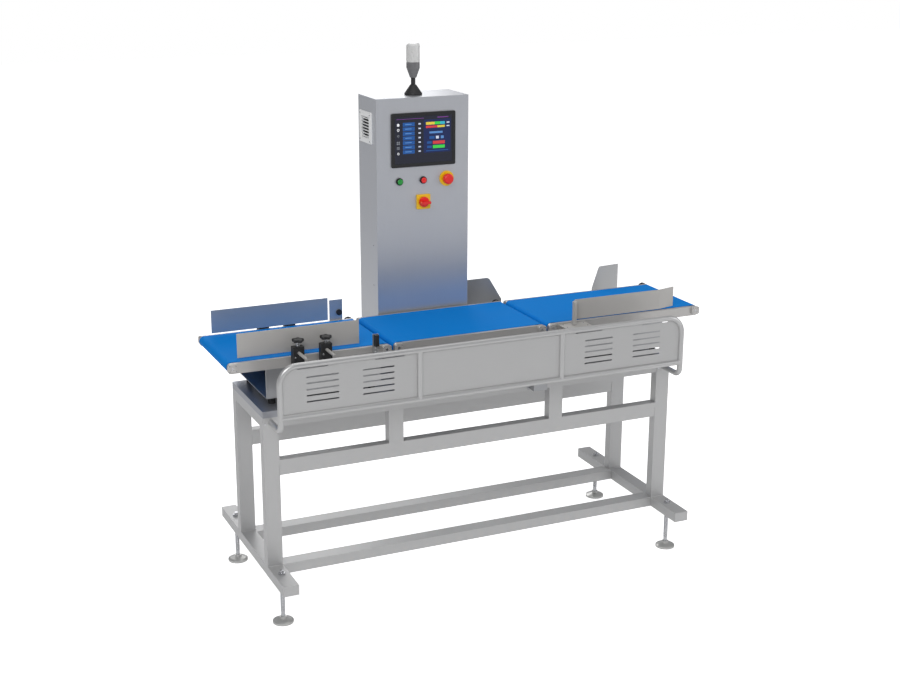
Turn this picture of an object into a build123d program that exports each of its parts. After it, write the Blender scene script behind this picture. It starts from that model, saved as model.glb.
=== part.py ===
from build123d import *
import math
import os

os.makedirs("parts", exist_ok=True)

# Checkweigher: three belt conveyors on a welded box-tube stand, with a control pillar behind.
# Millimetres. +X is the way the product travels, +Y goes to the pillar, +Z is up.
# The origin lies on the floor, in the middle of the machine's outline.

# line of conveyors
LINE_LEFT = -1015.0
LINE_RIGHT = 1015.0
BELT_TOP = 1000.0
CONVEYOR_Y = 19.5
BELT_WIDTH = 370.0
BELT_THICK = 2.0
ROLLER_RADIUS = 17.5
RAIL_THICK = 12.0
RAIL_GAP = 3.0
RAIL_HEIGHT = 39.0
RAIL_DROP = 2.0
RAIL_SETBACK = 3.0
INFEED_LENGTH = 645.0
TRANSFER_GAP = 10.0
WEIGH_LENGTH = 655.0

# running clearances
DRUM_CLEARANCE = 0.3
SHAFT_CLEARANCE = 0.08
BUTTON_CLEARANCE = 0.3

# rollers, bearings and drives
SHAFT_RADIUS = 6.0
BEARING_WIDTH = 36.0
BEARING_HEIGHT = 33.0
BEARING_THICK = 8.0
PULLEY_RADIUS = 18.0
PULLEY_WIDTH = 12.0
PULLEY_GAP = 2.0
TOOTH_BELT_THICK = 2.0
MOTOR_DROP = 90.0
MOTOR_RADIUS = 19.0
MOTOR_LENGTH = 100.0
MOTOR_SHAFT_RADIUS = 5.0
MOTOR_PLATE_THICK = 6.0
BED_WALL = 2.0
BED_END_GAP = 4.0

# leg frame of box tube
FRAME_X = -30.0
FRAME_Y = -18.0
TUBE_WIDE = 60.0
TUBE_NARROW = 40.0
TUBE_WALL = 2.0
LEG_SPAN = 1690.0
FOOT_BAR_LENGTH = 824.0
FOOT_BAR_BOTTOM = 157.0
FRONT_FACE = -222.0
REAR_FACE = 171.0
MID_BEAM_BOTTOM = 561.0
TOP_BEAM_TOP = 793.0
POST_SPAN = 692.0
COVER_HEIGHT = 25.0
COVER_SHEET = 2.0

# levelling feet
FOOT_SPREAD = 600.0
PAD_RADIUS = 40.0
PAD_HEIGHT = 25.0
STEM_RADIUS = 8.0
NUT_RADIUS = 13.8
NUT_HEIGHT = 13.0
STEM_ABOVE_BAR = 15.0

# front guard of round tube
GUARD_Y = -345.0
GUARD_RADIUS = 11.0
GUARD_WALL = 1.5
GUARD_TOP = 1020.0
GUARD_BOTTOM = 829.0
GUARD_CORNER = 65.0
GUARD_FOOT_Z = 775.0
GUARD_FOOT_BEND = 30.0
GUARD_DIVIDER_SPAN = 600.0
PANEL_THICK = 1.5
SLOT_LENGTH = 125.0
SLOT_HEIGHT = 5.5
SLOT_PITCH = 23.3
SLOT_ROWS = 5
SLOT_TOP = 972.0
SLOT_CENTRES = (464.0, 682.0)
NOTCH_LENGTH = 118.0
NOTCH_HEIGHT = 4.0
NOTCH_CENTRES = (418.0, 719.0)

# stands under the conveyors
STAND_BOTTOM = 845.0
STAND_SHEET = 3.0
INFEED_STAND_LEFT = -870.0
INFEED_STAND_RIGHT = -415.0
OUTFEED_STAND_LEFT = 330.0
OUTFEED_STAND_RIGHT = 840.0
STAND_FOOT_RADIUS = 13.0
STAND_FOOT_INSET = 28.0

# weighing unit
CELL_LENGTH = 150.0
CELL_WIDTH = 40.0
CELL_HEIGHT = 40.0
CELL_SPACER = 10.0
CELL_SPACER_LENGTH = 50.0
SCALE_BASE_LENGTH = 240.0
SCALE_BASE_WIDTH = 200.0
SCALE_BASE_HEIGHT = 40.0
CARRIER_LENGTH = 460.0
CARRIER_SHEET = 6.0

# product guides on the infeed
GUIDE_LEFT = -966.0
GUIDE_RIGHT = -489.0
GUIDE_BOTTOM = 1008.0
GUIDE_TOP = 1100.0
GUIDE_SHEET = 2.0
FRONT_GUIDE_Y = -148.0
REAR_GUIDE_Y = 199.0
GUIDE_ROD_X = (-749.0, -640.0)
GUIDE_ROD_Z = 1018.0
GUIDE_ROD_RADIUS = 6.0
GUIDE_ROD_LENGTH = 150.0
CLAMP_WIDTH = 44.0
CLAMP_DEPTH = 31.0
CLAMP_BOTTOM = 965.0
CLAMP_TOP = 1040.0
STUD_RADIUS = 4.0
STUD_TIP_GAP = 0.5
COLLAR_RADIUS = 9.0
COLLAR_HEIGHT = 9.0
KNOB_RADIUS = 25.0
KNOB_HEIGHT = 20.0
KNOB_LOBES = 5
KNOB_CLEARANCE = 1.0

# photo-eye
EYE_X = -435.0
EYE_WIDTH = 16.0
EYE_DEPTH = 20.0
EYE_BOTTOM = 1002.0
EYE_HEIGHT = 44.0
EYE_PLATE_THICK = 3.0
EYE_PLATE_WIDTH = 24.0
EYE_PLATE_BOTTOM = 965.0
BEAM_Z = 1030.0
BEAM_HOLE = 5.0
REFLECTOR_RADIUS = 12.0
REFLECTOR_THICK = 6.0
REFLECTOR_PLATE_LEFT = -475.0
REFLECTOR_PLATE_RIGHT = -420.0
REFLECTOR_PLATE_TOP = 1083.0

# reject arm and chute
ARM_PIVOT_X = 408.0
ARM_PIVOT_Y = -208.0
ARM_BARREL_RADIUS = 9.0
ARM_BOTTOM = 1006.0
ARM_TOP = 1088.0
ARM_SHEET = 3.0
ARM_PLANE_Y = -181.0
ARM_BEND_X = 820.0
ARM_TIP_X = 899.0
ARM_TIP_Y = -160.0
ARM_SHAFT_RADIUS = 6.0
BRACKET_LEFT = 352.0
BRACKET_RIGHT = 470.0
BRACKET_FRONT = -247.0
BRACKET_TOP = 992.0
BRACKET_SHEET = 4.0
BRACKET_LIP = 22.0
ACTUATOR_RADIUS = 20.0
ACTUATOR_HEIGHT = 73.0
CHUTE_LEFT = 305.0
CHUTE_RIGHT = 745.0
CHUTE_START_Y = 245.0
CHUTE_END_Y = 372.0
CHUTE_LEFT_FLARE = 38.0
CHUTE_RIGHT_FLARE = 58.0
CHUTE_SLOPE = 20.0
CHUTE_FLOOR_Z = 955.0
CHUTE_SHEET = 2.0
CHEEK_TOP = 1085.0
CHEEK_LEAN = 60.0
CHEEK_CORNER = 18.0
CHUTE_LIP_HEIGHT = 30.0
CHUTE_LIP_INSET = 55.0

# control pillar
PILLAR_X = -60.0
PILLAR_WIDTH = 400.0
PILLAR_FRONT = 232.0
PILLAR_DEPTH = 194.0
PILLAR_BOTTOM = 621.0
PILLAR_TOP = 1871.0
PILLAR_SHEET = 2.0
COVER_SCREW_RADIUS = 6.0
COVER_SCREW_HEIGHT = 4.0
ARM_SPREAD = 280.0
STAY_WIDTH = 140.0
STAY_SHEET = 6.0
FRAME_BOLT_INSET = 22.0
FRAME_BOLT_DROP = 24.0

# screen and switches
SCREEN_X = -59.0
SCREEN_Z = 1703.0
SCREEN_WIDTH = 278.0
SCREEN_HEIGHT = 216.0
SCREEN_PROUD = 6.0
SCREEN_BORDER = 14.0
SCREEN_CORNER = 6.0
SCREEN_DEPTH = 40.0
GLASS_THICK = 2.0
GLASS_RECESS = 0.5
BUTTON_Z = 1538.0
START_X = -163.0
STOP_X = -60.0
ESTOP_X = 43.0
ISOLATOR_Z = 1450.0
BEZEL_RADIUS = 15.0
BEZEL_PROUD = 6.0
BARREL_RADIUS = 11.0
BARREL_DEPTH = 30.0
BUTTON_RADIUS = 9.5
BUTTON_PROUD = 2.0
BUTTON_TRAVEL = 3.5
BUTTON_LENGTH = 22.0
COLLAR_PLATE_RADIUS = 31.0
COLLAR_PLATE_THICK = 5.0
MUSHROOM_RADIUS = 21.0
MUSHROOM_HEIGHT = 20.0
MUSHROOM_GAP = 6.0
ISOLATOR_PLATE = 60.0
ISOLATOR_THICK = 6.0
ISOLATOR_HOLE = 10.0
HANDLE_RADIUS = 21.0
HANDLE_BASE = 8.0
HANDLE_GRIP = 22.0
HANDLE_GRIP_WIDTH = 12.0

# side vent
VENT_SIZE = 125.0
VENT_THICK = 6.0
VENT_Y = 340.0
VENT_Z = 1749.0
VENT_OPENING = 84.0
VENT_SLATS = 7
VENT_SLAT_THICK = 3.0
FAN_RADIUS = 38.0
FAN_HUB = 14.0
FAN_DEPTH = 25.0
FAN_BLADES = 7
FAN_TIP_GAP = 2.0

# beacon
BEACON_X = -66.0
BEACON_Y = 316.0
BEACON_BASE_RADIUS = 36.0
BEACON_BASE_HEIGHT = 40.0
BEACON_NECK_RADIUS = 9.0
BEACON_NECK_HEIGHT = 28.0
BEACON_CUP_RADIUS = 26.5
BEACON_CUP_HEIGHT = 62.0
BEACON_LENS_HEIGHT = 74.0

# modules inside the pillar
BACK_PLATE_THICK = 3.0
BACK_PLATE_WIDTH = 300.0
BACK_PLATE_BOTTOM = 700.0
BACK_PLATE_HEIGHT = 600.0
BACK_PLATE_STANDOFF = 20.0

# places worked out from the sizes above
INFEED = (LINE_LEFT, LINE_LEFT + INFEED_LENGTH)
WEIGH = (INFEED[1] + TRANSFER_GAP, INFEED[1] + TRANSFER_GAP + WEIGH_LENGTH)
OUTFEED = (WEIGH[1] + TRANSFER_GAP, LINE_RIGHT)
LOOP_RADIUS = ROLLER_RADIUS + BELT_THICK
ROLLER_Z = BELT_TOP - LOOP_RADIUS
RAIL_TOP = BELT_TOP - RAIL_DROP
RAIL_BOTTOM = RAIL_TOP - RAIL_HEIGHT
RAIL_INNER = BELT_WIDTH / 2 + RAIL_GAP
RAIL_OUTER = RAIL_INNER + RAIL_THICK
FRONT_RAIL_Y = CONVEYOR_Y - RAIL_OUTER
REAR_RAIL_Y = CONVEYOR_Y + RAIL_OUTER
LEG_LEFT = FRAME_X - LEG_SPAN / 2
LEG_RIGHT = FRAME_X + LEG_SPAN / 2
LEG_INNER_LEFT = LEG_LEFT + TUBE_WIDE / 2
LEG_INNER_RIGHT = LEG_RIGHT - TUBE_WIDE / 2
FOOT_BAR_TOP = FOOT_BAR_BOTTOM + TUBE_NARROW
FRAME_FRONT = FRAME_Y + FRONT_FACE
FRAME_REAR = FRAME_Y + REAR_FACE
MID_BEAM_TOP = MID_BEAM_BOTTOM + TUBE_WIDE
TOP_BEAM_BOTTOM = TOP_BEAM_TOP - TUBE_NARROW
DECK_TOP = TOP_BEAM_TOP + COVER_HEIGHT
GUARD_PLANE = FRAME_Y + GUARD_Y
PILLAR_LEFT = PILLAR_X - PILLAR_WIDTH / 2
PILLAR_RIGHT = PILLAR_X + PILLAR_WIDTH / 2
PILLAR_BACK = PILLAR_FRONT + PILLAR_DEPTH - PILLAR_SHEET
MOTOR_Z = ROLLER_Z - MOTOR_DROP
PULLEY_START = REAR_RAIL_Y + BEARING_THICK + PULLEY_GAP

nodes = {}


def block(x0, x1, y0, y1, z0, z1):
    centre = Pos((x0 + x1) / 2, (y0 + y1) / 2, (z0 + z1) / 2)
    return centre * Box(x1 - x0, y1 - y0, z1 - z0)


def box_tube(x0, x1, y0, y1, z0, z1, wall=TUBE_WALL):
    """Box tube with welded ends, hollow inside."""
    return block(x0, x1, y0, y1, z0, z1) - block(
        x0 + wall, x1 - wall, y0 + wall, y1 - wall, z0 + wall, z1 - wall)


def rod(along, x, y, z, radius, length):
    """Cylinder that starts at a point and runs in the plus direction of one axis."""
    turn = {"X": Rot(0, 90, 0), "Y": Rot(-90, 0, 0), "Z": Rot(0, 0, 0)}[along]
    stand = (Align.CENTER, Align.CENTER, Align.MIN)
    return Pos(x, y, z) * turn * Cylinder(radius, length, align=stand)


def pipe(along, x, y, z, radius, length, wall):
    return rod(along, x, y, z, radius, length) - rod(along, x, y, z, radius - wall, length)


def plate_xz(sketch, x, y, z, thick):
    """Sheet that stands in the XZ plane, from y towards +Y."""
    wall = Plane(origin=(x, y, z), x_dir=(1, 0, 0), z_dir=(0, -1, 0))
    return extrude(wall * sketch, amount=-thick)


def both_ends(x0, x1):
    return x0 + LOOP_RADIUS, x1 - LOOP_RADIUS


def levelling_feet():
    """Pads with their threaded stems, each locked by a nut below and above its foot bar."""
    pads, stems, holes = [], [], []
    outline = Polyline((0, 0), (PAD_RADIUS, 0), (PAD_RADIUS, 8), (PAD_RADIUS - 7, 12),
                       (NUT_RADIUS, 18), (NUT_RADIUS, PAD_HEIGHT), (0, PAD_HEIGHT), (0, 0))
    pad = revolve(Plane.XZ * make_face(outline), Axis.Z)
    nut = extrude(RegularPolygon(NUT_RADIUS, 6), NUT_HEIGHT)
    stem_top = FOOT_BAR_TOP + STEM_ABOVE_BAR
    for x in (LEG_LEFT, LEG_RIGHT):
        for y in (FRAME_Y - FOOT_SPREAD / 2, FRAME_Y + FOOT_SPREAD / 2):
            pads.append(Pos(x, y, 0) * pad)
            stem = rod("Z", x, y, PAD_HEIGHT, STEM_RADIUS, stem_top - PAD_HEIGHT)
            stem += Pos(x, y, FOOT_BAR_BOTTOM - NUT_HEIGHT) * nut
            stem += Pos(x, y, FOOT_BAR_TOP) * extrude(RegularPolygon(NUT_RADIUS, 6), NUT_HEIGHT / 2)
            stems.append(stem)
            holes.append(rod("Z", x, y, FOOT_BAR_BOTTOM, STEM_RADIUS + DRUM_CLEARANCE, TUBE_NARROW))
    return pads, stems, holes


def leg_frame():
    half = TUBE_WIDE / 2
    pads, stems, holes = levelling_feet()
    nodes["foot_pads"] = pads
    nodes["foot_stems"] = stems
    bar_front = FRAME_Y - FOOT_BAR_LENGTH / 2
    bar_rear = FRAME_Y + FOOT_BAR_LENGTH / 2
    nodes["foot_bars"] = [
        box_tube(x - half, x + half, bar_front, bar_rear, FOOT_BAR_BOTTOM, FOOT_BAR_TOP) - holes
        for x in (LEG_LEFT, LEG_RIGHT)]
    rows = ((FRAME_FRONT, FRAME_FRONT + TUBE_NARROW), (FRAME_REAR - TUBE_NARROW, FRAME_REAR))
    legs = [
        box_tube(x - half, x + half, y0, y1, FOOT_BAR_TOP, TOP_BEAM_TOP)
        for x in (LEG_LEFT, LEG_RIGHT) for y0, y1 in rows]
    posts = (FRAME_X - POST_SPAN / 2, FRAME_X + POST_SPAN / 2)
    short_posts = [
        box_tube(x - half, x + half, y0, y1, MID_BEAM_TOP, TOP_BEAM_BOTTOM)
        for x in posts for y0, y1 in rows]
    nodes["uprights"] = legs + short_posts
    lower_beams = [
        box_tube(LEG_INNER_LEFT, LEG_INNER_RIGHT, y0, y0 + TUBE_WIDE, FOOT_BAR_BOTTOM, FOOT_BAR_TOP)
        for y0 in (FRAME_FRONT, FRAME_REAR - TUBE_WIDE)]
    mid_beams = [
        box_tube(LEG_INNER_LEFT, LEG_INNER_RIGHT, y0, y1, MID_BEAM_BOTTOM, MID_BEAM_TOP)
        for y0, y1 in rows]
    top_beams = [
        box_tube(LEG_INNER_LEFT, LEG_INNER_RIGHT, y0, y1, TOP_BEAM_BOTTOM, TOP_BEAM_TOP)
        for y0, y1 in rows]
    cross_beams = [
        box_tube(x - half, x + half, rows[0][1], rows[1][0], TOP_BEAM_BOTTOM, TOP_BEAM_TOP)
        for x in (LEG_LEFT, *posts, LEG_RIGHT)]
    nodes["beams"] = lower_beams + mid_beams + top_beams + cross_beams


def deck_cover():
    """Sheet tray turned upside down over the top beams."""
    x0, x1 = LEG_LEFT - TUBE_WIDE / 2, LEG_RIGHT + TUBE_WIDE / 2
    y0, y1 = FRAME_FRONT, FRAME_REAR
    sheet_z = DECK_TOP - COVER_SHEET
    nodes["deck_cover"] = [
        block(x0, x1, y0, y1, sheet_z, DECK_TOP),
        block(x0, x1, y0, y0 + COVER_SHEET, TOP_BEAM_TOP, sheet_z),
        block(x0, x1, y1 - COVER_SHEET, y1, TOP_BEAM_TOP, sheet_z),
        block(x0, x0 + COVER_SHEET, y0 + COVER_SHEET, y1 - COVER_SHEET, TOP_BEAM_TOP, sheet_z),
        block(x1 - COVER_SHEET, x1, y0 + COVER_SHEET, y1 - COVER_SHEET, TOP_BEAM_TOP, sheet_z)]


def elbow(centre, start, normal, bend):
    """Quarter bend of guard tube round a centre, from the start direction, turning about the normal."""
    section = Circle(GUARD_RADIUS) - Circle(GUARD_RADIUS - GUARD_WALL)
    ring = Plane.XZ * (Pos(bend, 0) * section)
    return Plane(origin=centre, x_dir=start, z_dir=normal).location * revolve(ring, Axis.Z, 90)


def guard():
    """Tube rail along the front with three sheet panels; its ends turn back to the uprights."""
    y = GUARD_PLANE
    top_run = pipe("X", LEG_LEFT + GUARD_CORNER, y, GUARD_TOP, GUARD_RADIUS,
                   LEG_SPAN - 2 * GUARD_CORNER, GUARD_WALL)
    rails = [top_run]
    post_bottom = GUARD_FOOT_Z + GUARD_FOOT_BEND
    post_height = GUARD_TOP - GUARD_CORNER - post_bottom
    foot_y = y + GUARD_FOOT_BEND
    for x, inward in ((LEG_LEFT, 1), (LEG_RIGHT, -1)):
        corner_centre = (x + inward * GUARD_CORNER, y, GUARD_TOP - GUARD_CORNER)
        rails.append(elbow(corner_centre, (-inward, 0, 0), (0, inward, 0), GUARD_CORNER))
        rails.append(pipe("Z", x, y, post_bottom, GUARD_RADIUS, post_height, GUARD_WALL))
        rails.append(elbow((x, foot_y, post_bottom), (0, -1, 0), (1, 0, 0), GUARD_FOOT_BEND))
        rails.append(pipe("Y", x, foot_y, GUARD_FOOT_Z, GUARD_RADIUS, FRAME_FRONT - foot_y, GUARD_WALL))
    posts = [rod("Z", x, y, post_bottom, GUARD_RADIUS, post_height) for x in (LEG_LEFT, LEG_RIGHT)]
    bottom_run = pipe("X", LEG_LEFT, y, GUARD_BOTTOM, GUARD_RADIUS, LEG_SPAN, GUARD_WALL) - posts
    rails.append(bottom_run)
    dividers = [FRAME_X - GUARD_DIVIDER_SPAN / 2, FRAME_X + GUARD_DIVIDER_SPAN / 2]
    runs = [rod("X", LEG_LEFT, y, z, GUARD_RADIUS, LEG_SPAN) for z in (GUARD_TOP, GUARD_BOTTOM)]
    for x in dividers:
        upright = pipe("Z", x, y, GUARD_BOTTOM, GUARD_RADIUS, GUARD_TOP - GUARD_BOTTOM, GUARD_WALL)
        rails.append(upright - runs)
    nodes["guard_rails"] = rails

    low, high = GUARD_BOTTOM + GUARD_RADIUS, GUARD_TOP - GUARD_RADIUS
    sheet_y = y - PANEL_THICK / 2
    edges = [LEG_LEFT, dividers[0], dividers[1], LEG_RIGHT]
    nodes["guard_panels"] = []
    for left, right, side in zip(edges, edges[1:], (-1, 0, 1)):
        x0, x1 = left + GUARD_RADIUS, right - GUARD_RADIUS
        sheet = block(x0, x1, sheet_y, sheet_y + PANEL_THICK, low, high)
        if side:
            edge = sheet.edges().filter_by(Axis.Y).sort_by(Axis.Z)[-2:].sort_by(Axis.X)
            sheet = fillet(edge[0 if side < 0 else -1], GUARD_CORNER - GUARD_RADIUS)
            sheet -= [
                plate_xz(SlotOverall(SLOT_LENGTH, SLOT_HEIGHT), FRAME_X + side * centre,
                         sheet_y, SLOT_TOP - row * SLOT_PITCH, PANEL_THICK)
                for centre in SLOT_CENTRES for row in range(SLOT_ROWS)]
            sheet -= [
                block(FRAME_X + side * centre - NOTCH_LENGTH / 2, FRAME_X + side * centre + NOTCH_LENGTH / 2,
                      sheet_y, sheet_y + PANEL_THICK, high - NOTCH_HEIGHT, high)
                for centre in NOTCH_CENTRES]
        nodes["guard_panels"].append(sheet)


def roller(x, drive):
    """Drum on its shaft. A drive roller's shaft runs on at the rear to a toothed-belt pulley."""
    drum_y = CONVEYOR_Y - BELT_WIDTH / 2
    turned = rod("Y", x, drum_y, ROLLER_Z, ROLLER_RADIUS - DRUM_CLEARANCE, BELT_WIDTH)
    shaft_front = FRONT_RAIL_Y - BEARING_THICK
    shaft_end = PULLEY_START + PULLEY_WIDTH if drive else REAR_RAIL_Y + BEARING_THICK
    turned += rod("Y", x, shaft_front, ROLLER_Z, SHAFT_RADIUS, shaft_end - shaft_front)
    if drive:
        turned += rod("Y", x, PULLEY_START, ROLLER_Z, PULLEY_RADIUS, PULLEY_WIDTH)
    return turned


def bearing_blocks(x):
    """One block on the outside of each side rail, bored for the shaft."""
    bore = SHAFT_RADIUS + SHAFT_CLEARANCE
    blocks = []
    for y0 in (FRONT_RAIL_Y - BEARING_THICK, REAR_RAIL_Y):
        plate = block(x - BEARING_WIDTH / 2, x + BEARING_WIDTH / 2, y0, y0 + BEARING_THICK,
                      ROLLER_Z - BEARING_HEIGHT / 2, ROLLER_Z + BEARING_HEIGHT / 2)
        plate = fillet(plate.edges().filter_by(Axis.Y), BEARING_THICK)
        blocks.append(plate - rod("Y", x, y0, ROLLER_Z, bore, BEARING_THICK))
    return blocks


def conveyor(name, x0, x1):
    """Side rails, slider bed, endless belt and the two rollers of one conveyor."""
    idle_x, drive_x = both_ends(x0, x1)
    bore = SHAFT_RADIUS + SHAFT_CLEARANCE
    rails = []
    for y0 in (FRONT_RAIL_Y, REAR_RAIL_Y - RAIL_THICK):
        rail = block(x0 + RAIL_SETBACK, x1 - RAIL_SETBACK, y0, y0 + RAIL_THICK, RAIL_BOTTOM, RAIL_TOP)
        rail = fillet(rail.edges().filter_by(Axis.Y), RAIL_THICK)
        rails.append(rail - [rod("Y", x, y0, ROLLER_Z, bore, RAIL_THICK) for x in (idle_x, drive_x)])
    bed_z = ROLLER_Z + ROLLER_RADIUS
    bed_bottom = ROLLER_Z - ROLLER_RADIUS + BELT_THICK
    bed_inset = LOOP_RADIUS + ROLLER_RADIUS + BED_END_GAP
    bed = box_tube(x0 + bed_inset, x1 - bed_inset, FRONT_RAIL_Y + RAIL_THICK,
                   REAR_RAIL_Y - RAIL_THICK, bed_bottom, bed_z, BED_WALL)
    blocks = bearing_blocks(idle_x) + bearing_blocks(drive_x)
    nodes[name + "_frame"] = rails + [bed] + blocks
    length, height = x1 - x0, 2 * LOOP_RADIUS
    loop = SlotOverall(length, height) - SlotOverall(length - 2 * BELT_THICK, height - 2 * BELT_THICK)
    belt = plate_xz(loop, (x0 + x1) / 2, CONVEYOR_Y - BELT_WIDTH / 2, ROLLER_Z, BELT_WIDTH)
    nodes[name + "_belt"] = [belt]
    nodes[name + "_idle_roller"] = [roller(idle_x, False)]
    nodes[name + "_drive_roller"] = [roller(drive_x, True)]
    drive(name, drive_x)


def drive(name, x):
    """Gearmotor hung from the rear rail, its pulley and the toothed belt up to the roller."""
    plate_rear = REAR_RAIL_Y
    plate_front = plate_rear - MOTOR_PLATE_THICK
    motor = block(x - MOTOR_RADIUS, x + MOTOR_RADIUS, plate_front, plate_rear,
                  MOTOR_Z - MOTOR_RADIUS, RAIL_BOTTOM)
    motor += rod("Y", x, plate_front - MOTOR_LENGTH, MOTOR_Z, MOTOR_RADIUS, MOTOR_LENGTH)
    bore_depth = 4 * MOTOR_PLATE_THICK
    motor -= rod("Y", x, plate_rear - bore_depth, MOTOR_Z, MOTOR_SHAFT_RADIUS + SHAFT_CLEARANCE, bore_depth)
    pulley = rod("Y", x, PULLEY_START, MOTOR_Z, PULLEY_RADIUS, PULLEY_WIDTH)
    shaft_start = plate_rear - bore_depth + PULLEY_GAP
    pulley += rod("Y", x, shaft_start, MOTOR_Z, MOTOR_SHAFT_RADIUS, PULLEY_START - shaft_start)
    nodes[name + "_pulley"] = [pulley]
    nodes.setdefault("belt_motors", []).append(motor)
    inner = PULLEY_RADIUS + DRUM_CLEARANCE
    outer = inner + TOOTH_BELT_THICK
    loop = SlotOverall(MOTOR_DROP + 2 * outer, 2 * outer) - SlotOverall(MOTOR_DROP + 2 * inner, 2 * inner)
    centre_z = (ROLLER_Z + MOTOR_Z) / 2
    tooth_belt = plate_xz(Rot(0, 0, 90) * loop, x, PULLEY_START, centre_z, PULLEY_WIDTH)
    nodes.setdefault("toothed_belts", []).append(tooth_belt)


def channel_stand(x0, x1):
    """Folded channel that carries a conveyor by its rails, on four short rubber feet."""
    y0, y1 = FRONT_RAIL_Y, REAR_RAIL_Y
    floor_top = STAND_BOTTOM + STAND_SHEET
    nodes.setdefault("conveyor_stands", []).extend([
        block(x0, x1, y0, y1, STAND_BOTTOM, floor_top),
        block(x0, x1, y0, y0 + STAND_SHEET, floor_top, RAIL_BOTTOM),
        block(x0, x1, y1 - STAND_SHEET, y1, floor_top, RAIL_BOTTOM)])
    rear_foot_y = FRAME_REAR - STAND_FOOT_INSET
    for x in (x0 + STAND_FOOT_INSET, x1 - STAND_FOOT_INSET):
        for y in (y0 + STAND_FOOT_INSET, rear_foot_y):
            foot = rod("Z", x, y, DECK_TOP, STAND_FOOT_RADIUS, STAND_BOTTOM - DECK_TOP)
            nodes.setdefault("stand_feet", []).append(foot)


def weighing_unit():
    """Base on the deck, load cell between two spacers, and the carrier under the weigh rails."""
    x, y = (WEIGH[0] + WEIGH[1]) / 2, (FRAME_FRONT + FRAME_REAR) / 2
    base_top = DECK_TOP + SCALE_BASE_HEIGHT
    base = box_tube(
        x - SCALE_BASE_LENGTH / 2, x + SCALE_BASE_LENGTH / 2, y - SCALE_BASE_WIDTH / 2,
        y + SCALE_BASE_WIDTH / 2, DECK_TOP, base_top)
    cell_z = base_top + CELL_SPACER
    cell_top = cell_z + CELL_HEIGHT
    left, right = x - CELL_LENGTH / 2, x + CELL_LENGTH / 2
    front, rear = y - CELL_WIDTH / 2, y + CELL_WIDTH / 2
    cell = block(left, right, front, rear, cell_z, cell_top)
    lobe = CELL_HEIGHT * 0.3
    window = plate_xz(SlotOverall(CELL_LENGTH * 0.4, 2 * lobe), x, front, (cell_z + cell_top) / 2, CELL_WIDTH)
    nodes["load_cell"] = [
        cell - window,
        block(left, left + CELL_SPACER_LENGTH, front, rear, base_top, cell_z),
        block(right - CELL_SPACER_LENGTH, right, front, rear, cell_top, cell_top + CELL_SPACER)]
    plate_z = cell_top + CELL_SPACER
    plate_top = plate_z + CARRIER_SHEET
    x0, x1 = x - CARRIER_LENGTH / 2, x + CARRIER_LENGTH / 2
    nodes["weigh_supports"] = [
        base,
        block(x0, x1, FRONT_RAIL_Y, REAR_RAIL_Y, plate_z, plate_top),
        block(x0, x1, FRONT_RAIL_Y, FRONT_RAIL_Y + CARRIER_SHEET, plate_top, RAIL_BOTTOM),
        block(x0, x1, REAR_RAIL_Y - CARRIER_SHEET, REAR_RAIL_Y, plate_top, RAIL_BOTTOM)]


def star_knob():
    """Lobed head on a threaded stud with a turned collar, standing on the origin."""
    head = Circle(KNOB_RADIUS * 0.72)
    for lobe in PolarLocations(KNOB_RADIUS * 0.68, KNOB_LOBES):
        head += lobe * Circle(KNOB_RADIUS * 0.32)
    collar_z = CLAMP_TOP + KNOB_CLEARANCE
    head_z = collar_z + COLLAR_HEIGHT
    tip = GUIDE_ROD_Z + GUIDE_ROD_RADIUS + STUD_TIP_GAP
    knob = Pos(0, 0, head_z) * extrude(head, KNOB_HEIGHT)
    knob = fillet(knob.edges().group_by(Axis.Z)[-1], KNOB_HEIGHT * 0.15)
    knob += rod("Z", 0, 0, collar_z, COLLAR_RADIUS, COLLAR_HEIGHT)
    return knob + rod("Z", 0, 0, tip, STUD_RADIUS, collar_z - tip)


def side_guides():
    """Two sheet guides on rods; each rod slides in a clamp block and is locked by a star knob."""
    knob = star_knob()
    clamps = []
    sides = (("front", -1, FRONT_GUIDE_Y, FRONT_RAIL_Y), ("rear", 1, REAR_GUIDE_Y, REAR_RAIL_Y))
    for name, out, face, rail in sides:
        back = face + out * GUIDE_SHEET
        solids = [block(GUIDE_LEFT, GUIDE_RIGHT, min(face, back), max(face, back), GUIDE_BOTTOM, GUIDE_TOP)]
        rod_y = min(back, back + out * GUIDE_ROD_LENGTH)
        clamp_y0, clamp_y1 = sorted((rail, rail + out * CLAMP_DEPTH))
        knob_y = (clamp_y0 + clamp_y1) / 2
        for index, x in enumerate(GUIDE_ROD_X):
            solids.append(rod("Y", x, rod_y, GUIDE_ROD_Z, GUIDE_ROD_RADIUS, GUIDE_ROD_LENGTH))
            clamp = block(x - CLAMP_WIDTH / 2, x + CLAMP_WIDTH / 2, clamp_y0, clamp_y1, CLAMP_BOTTOM, CLAMP_TOP)
            clamp = chamfer(clamp.edges().filter_by(Axis.Z), 3)
            clamp -= rod("Y", x, clamp_y0, GUIDE_ROD_Z, GUIDE_ROD_RADIUS + SHAFT_CLEARANCE, CLAMP_DEPTH)
            clamp -= rod("Z", x, knob_y, GUIDE_ROD_Z, STUD_RADIUS + SHAFT_CLEARANCE, CLAMP_TOP - GUIDE_ROD_Z)
            clamps.append(clamp)
            nodes[f"{name}_knob_{index + 1}"] = [Pos(x, knob_y, 0) * knob]
        nodes[name + "_guide"] = solids
    nodes["guide_clamps"] = clamps


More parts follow.
